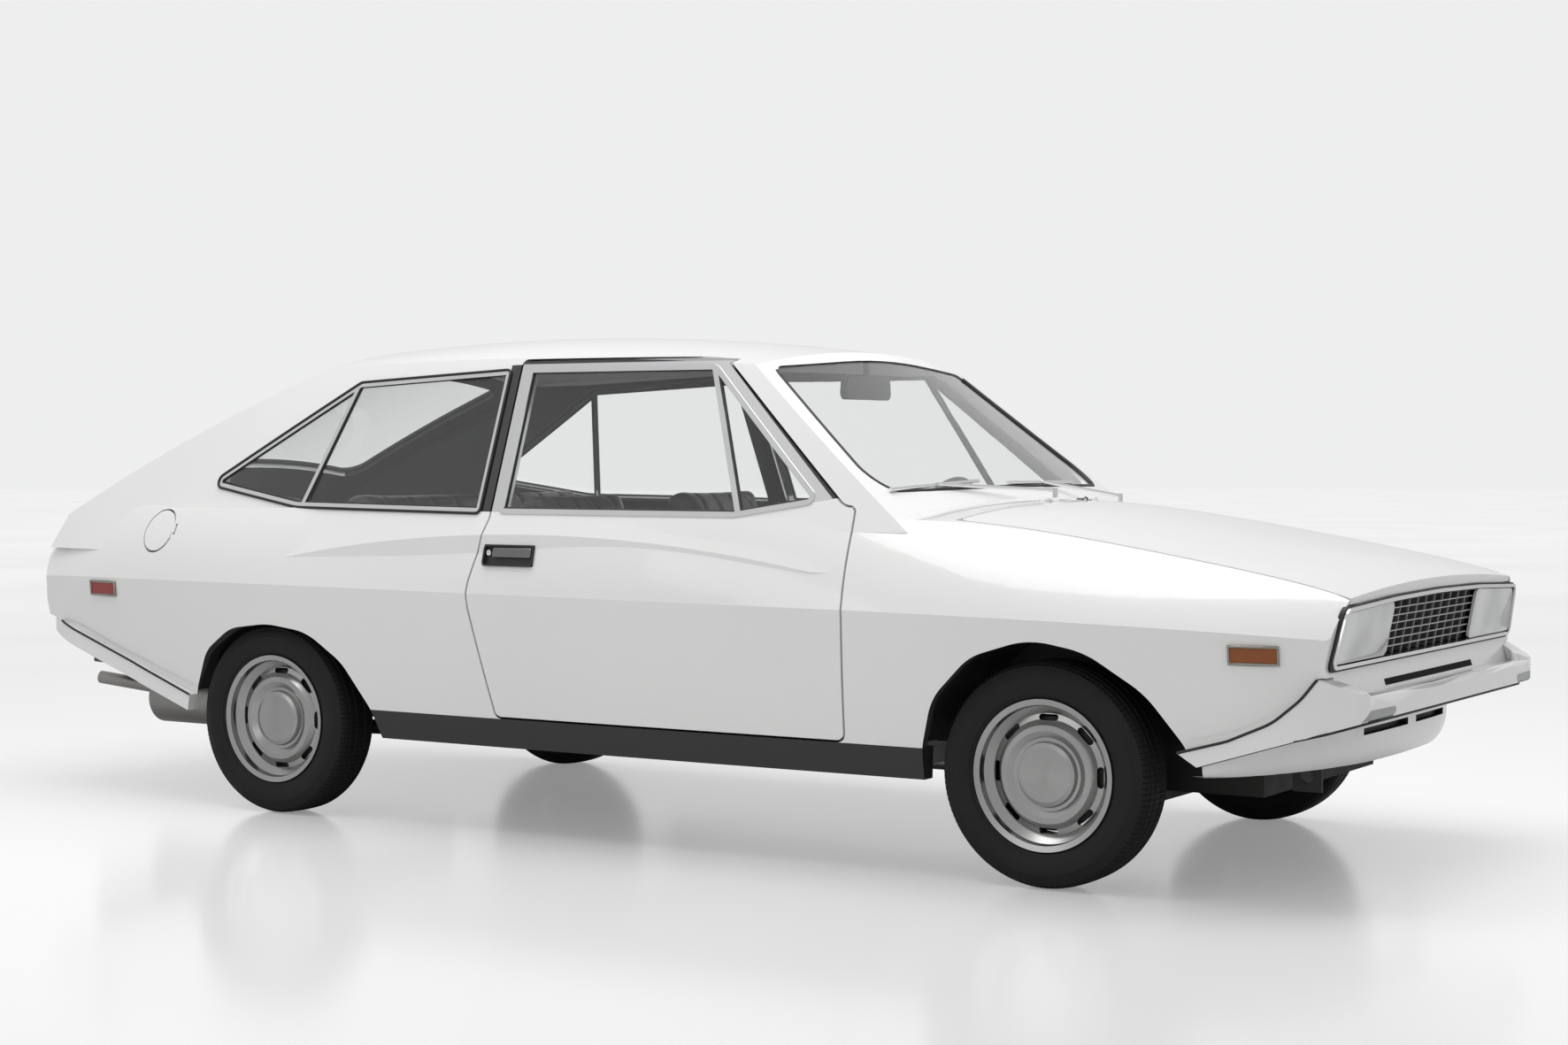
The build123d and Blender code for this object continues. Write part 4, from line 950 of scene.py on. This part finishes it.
def make_handle(side):
    """Pull handle in a rounded cup, with its lock, in place of the plain solid."""
    sign = -1 if side == "right" else 1
    body = f"door_{side}"

    def spot(x, z, out):
        half = SKIN_HALF - (z - SKIN_Z) * SKIN_LEAN + SKIN_SPREAD * (x - SKIN_X)
        return (x, sign * (half + out), z)

    def outside(place, normal):
        return normal.y * sign > 0.8

    cup = plate([spot(x, z, -0.014) for x, z in rectangle(*HANDLE_CUP)], 0.010, (0, sign * 0.0165, 0))
    pick_faces(cup, outside)
    bpy.ops.mesh.inset(thickness=0.005, depth=0.0)
    bpy.ops.mesh.inset(thickness=0.002, depth=-0.010)
    finish_piece(cup, f"door_handle_cup_{side}", PLASTIC, body, 35)
    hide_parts(f"door_handle_{side}")
    flap = plate([spot(x, z, -0.009) for x, z in rectangle(*HANDLE_FLAP)], 0.004, (0, sign * 0.0105, 0))
    pick_faces(flap, outside)
    bpy.ops.mesh.inset(thickness=0.0025, depth=0.0015)
    finish_piece(flap, f"door_handle_flap_{side}", HANDLE_STEEL, body, 30)
    deselect()
    bpy.ops.mesh.primitive_cylinder_add(
        vertices=24, radius=LOCK_RADIUS, depth=0.012, location=spot(*LOCK_PLACE, -0.006),
        rotation=(math.pi / 2, 0, 0),
    )
    lock = bpy.context.active_object
    bpy.ops.object.transform_apply(location=True, rotation=True, scale=True)
    pick_faces(lock, outside)
    bpy.ops.mesh.inset(thickness=0.0025, depth=-0.001)
    finish_piece(lock, f"door_lock_{side}", CHROME, body, 30)


def swell(obj, cap):
    """Blow a padded block up as cloth under pressure, each point moving no further than a cap."""
    start = [vertex.co.copy() for vertex in obj.data.vertices]
    cloth = obj.modifiers.new("cloth", "CLOTH")
    cloth.settings.use_pressure = True
    cloth.settings.uniform_pressure_force = CLOTH_PRESSURE
    cloth.settings.effector_weights.gravity = 0.0
    scene = bpy.context.scene
    for number in range(1, CLOTH_FRAMES + 1):
        scene.frame_set(number)
    select_only(obj)
    bpy.ops.object.modifier_apply(modifier=cloth.name)
    for vertex, place in zip(obj.data.vertices, start):
        move = vertex.co - place
        if move.length > cap:
            vertex.co = place + move * (cap / move.length)
    scene.frame_set(1)


def make_pad(name, low, high, seams, sunk, turn=0.0, pivot=(0, 0, 0)):
    """A padded leather block: rounded, blown up, with sewn seams across it that sink along one axis."""
    obj = box_piece(low, high, PAD_CORNER, 4)
    apply_modifier(obj, "REMESH", mode="VOXEL", voxel_size=PAD_STEP)
    swell(obj, PAD_SWELL)
    apply_modifier(obj, "SUBSURF", levels=1, render_levels=1)
    middle = (Vector(low) + Vector(high)) / 2
    for vertex in obj.data.vertices:
        dent = max(math.exp(-(((vertex.co.y - seam) / SEAM_WIDTH) ** 2)) for seam in seams)
        vertex.co[sunk] -= SEAM_DEPTH * dent * math.copysign(1, vertex.co[sunk] - middle[sunk])
    select_only(obj)
    bpy.ops.object.mode_set(mode="EDIT")
    bpy.ops.mesh.select_all(action="SELECT")
    bpy.ops.transform.rotate(value=turn, orient_axis="Y", center_override=pivot)
    bpy.ops.object.mode_set(mode="OBJECT")
    finish_piece(obj, name, LEATHER, "body", 80)
    return obj


def spread(start, end, count):
    """Places at even steps between two ends, the ends left out."""
    return [start + (end - start) * (step + 1) / (count + 1) for step in range(count)]


def make_seats():
    """Front seats and rear bench in place of their plain solids."""
    for side, y in (("right", -FRONT_SEAT_Y), ("left", FRONT_SEAT_Y)):
        left, right = y - SEAT_HALF, y + SEAT_HALF
        seams = spread(left, right, 4)
        name = f"front_cushion_{side}"
        make_pad(name, (-0.085, left, 0.445), (0.395, right, 0.545), seams, 2)
        make_pad(f"front_backrest_{side}", (-0.205, left, 0.455), (-0.125, right, 0.945), seams, 0,
                 SEAT_TILT, (-0.165, 0, 0.44))
        skirt = box_piece((-0.11, left - 0.01, 0.275), (0.40, right + 0.01, 0.455), 0.025)
        finish_piece(skirt, f"front_seat_base_{side}", TRIM, "body")
    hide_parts("front_seats")
    left, right = -BENCH_HALF, BENCH_HALF
    seams = spread(left, right, 9)
    bench = make_pad("rear_cushion", (-0.83, left, 0.43), (-0.425, right, 0.545), seams, 2)
    make_pad("rear_backrest", (-0.965, left, 0.42), (-0.87, right, 0.925), seams, 0,
             BENCH_TILT, (-0.9, 0, 0.42))
    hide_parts("rear_seat")


def make_floor():
    """Pale floor that glows a little to the camera, more so far away."""
    deselect()
    bpy.ops.mesh.primitive_circle_add(
        vertices=96, radius=FLOOR_RADIUS, fill_type="NGON", location=(0, 0, 0)
    )
    floor = bpy.context.active_object
    floor.name = "floor"
    finish = Finish("pale_floor", (FLOOR_TONE,) * 3, 0.16)
    finish.set(Specular_IOR_Level=0.5, Emission_Strength=1.0)
    sweep = finish.group(GRAIN, Scale=0.6, Detail=2.0).outputs["Grain"]
    finish.remap(sweep, 0.12, 0.2, "Roughness", 0.3, 0.7)
    place = finish.nodes.new("ShaderNodeTexCoord")
    reach = finish.nodes.new("ShaderNodeVectorMath")
    reach.operation = "LENGTH"
    finish.links.new(place.outputs["Object"], reach.inputs[0])
    far = finish.remap(reach.outputs["Value"], 0, 1, None, 3.0, 14.0)
    glow = finish.mix_colors(far, (GLOW_NEAR,) * 3, (GLOW_FAR,) * 3, None)
    finish.mix_colors(seen_mask(finish.material.node_tree), (0.0, 0.0, 0.0), glow, "Emission Color")
    floor.data.materials.append(finish.material)


def make_light():
    """Soft sky, brighter to the camera, and two softboxes."""
    world = bpy.data.worlds.new("studio")
    bpy.context.scene.world = world
    world.use_nodes = True
    sky = world.node_tree.nodes["Background"]
    sky.inputs["Color"].default_value = (0.95, 0.953, 0.955, 1)
    strength = world.node_tree.nodes.new("ShaderNodeMapRange")
    strength.inputs["To Min"].default_value = SKY_LIGHT
    strength.inputs["To Max"].default_value = SKY_SEEN
    world.node_tree.links.new(seen_mask(world.node_tree), strength.inputs["Value"])
    world.node_tree.links.new(strength.outputs["Result"], sky.inputs["Strength"])
    for name, place, target, width, height, power in LAMPS:
        light = bpy.data.lights.new(name, "AREA")
        light.shape = "RECTANGLE"
        light.size, light.size_y = width, height
        light.energy = power
        lamp = bpy.data.objects.new(name, light)
        bpy.context.scene.collection.objects.link(lamp)
        lamp.location = place
        lamp.rotation_euler = (Vector(target) - Vector(place)).to_track_quat("-Z", "Y").to_euler()


def make_camera():
    """Camera at the photograph's viewing angle."""
    camera = bpy.data.cameras.new("camera")
    camera.lens = CAMERA_LENS
    camera.sensor_width = 36.0
    viewer = bpy.data.objects.new("camera", camera)
    bpy.context.scene.collection.objects.link(viewer)
    viewer.location = CAMERA_PLACE
    viewer.rotation_euler = CAMERA_TURN
    bpy.context.scene.camera = viewer
    bpy.context.scene.view_settings.view_transform = "Standard"


BEADS = [
    # node, name of the bead, radius, finish, body, test of the edges that carry it
    ("windscreen", "windscreen_gasket", 0.007, RUBBER, "body", None),
    ("hatch_glass", "hatch_glass_gasket", 0.007, RUBBER, "hatch", None),
    ("quarter_glass", "quarter_glass_gasket", 0.0035, RUBBER, "body", None),
    ("door_glass_right", "door_glass_right_gasket", 0.0035, RUBBER, "door_right", None),
    ("door_glass_left", "door_glass_left_gasket", 0.0035, RUBBER, "door_left", None),
    ("quarter_frames", "quarter_drip_rail", 0.004, RUBBER, "body", away_from("quarter_glass", RAIL_AWAY)),
    ("front_markers", "front_marker_frames", 0.004, MARKER_FRAME, "body", on_front_marker),
    ("tail_lamps", "rear_marker_frames", 0.004, MARKER_FRAME, "body", on_rear_marker),
    ("tail_lamps", "tail_lamp_frames", 0.004, RUBBER, "body", lambda point: point.x < TAIL_LAMP_FACE),
    ("front_bumper", "front_ear_seal", 0.0035, RUBBER, "body", lambda point: on_ear_top(point, FRONT_EAR)),
    ("rear_bumper", "rear_ear_seal", 0.0035, RUBBER, "body", lambda point: on_ear_top(point, REAR_EAR)),
]

for end, side in WHEELS:
    make_tyre(end, side)
    make_brake_drum(end, side)
for bead in BEADS:
    make_gasket(*bead)
make_frame()
make_lamps()
make_grille()
make_blade()
make_chin()
make_handle("right")
make_handle("left")
make_seats()
make_floor()
make_light()
make_camera()
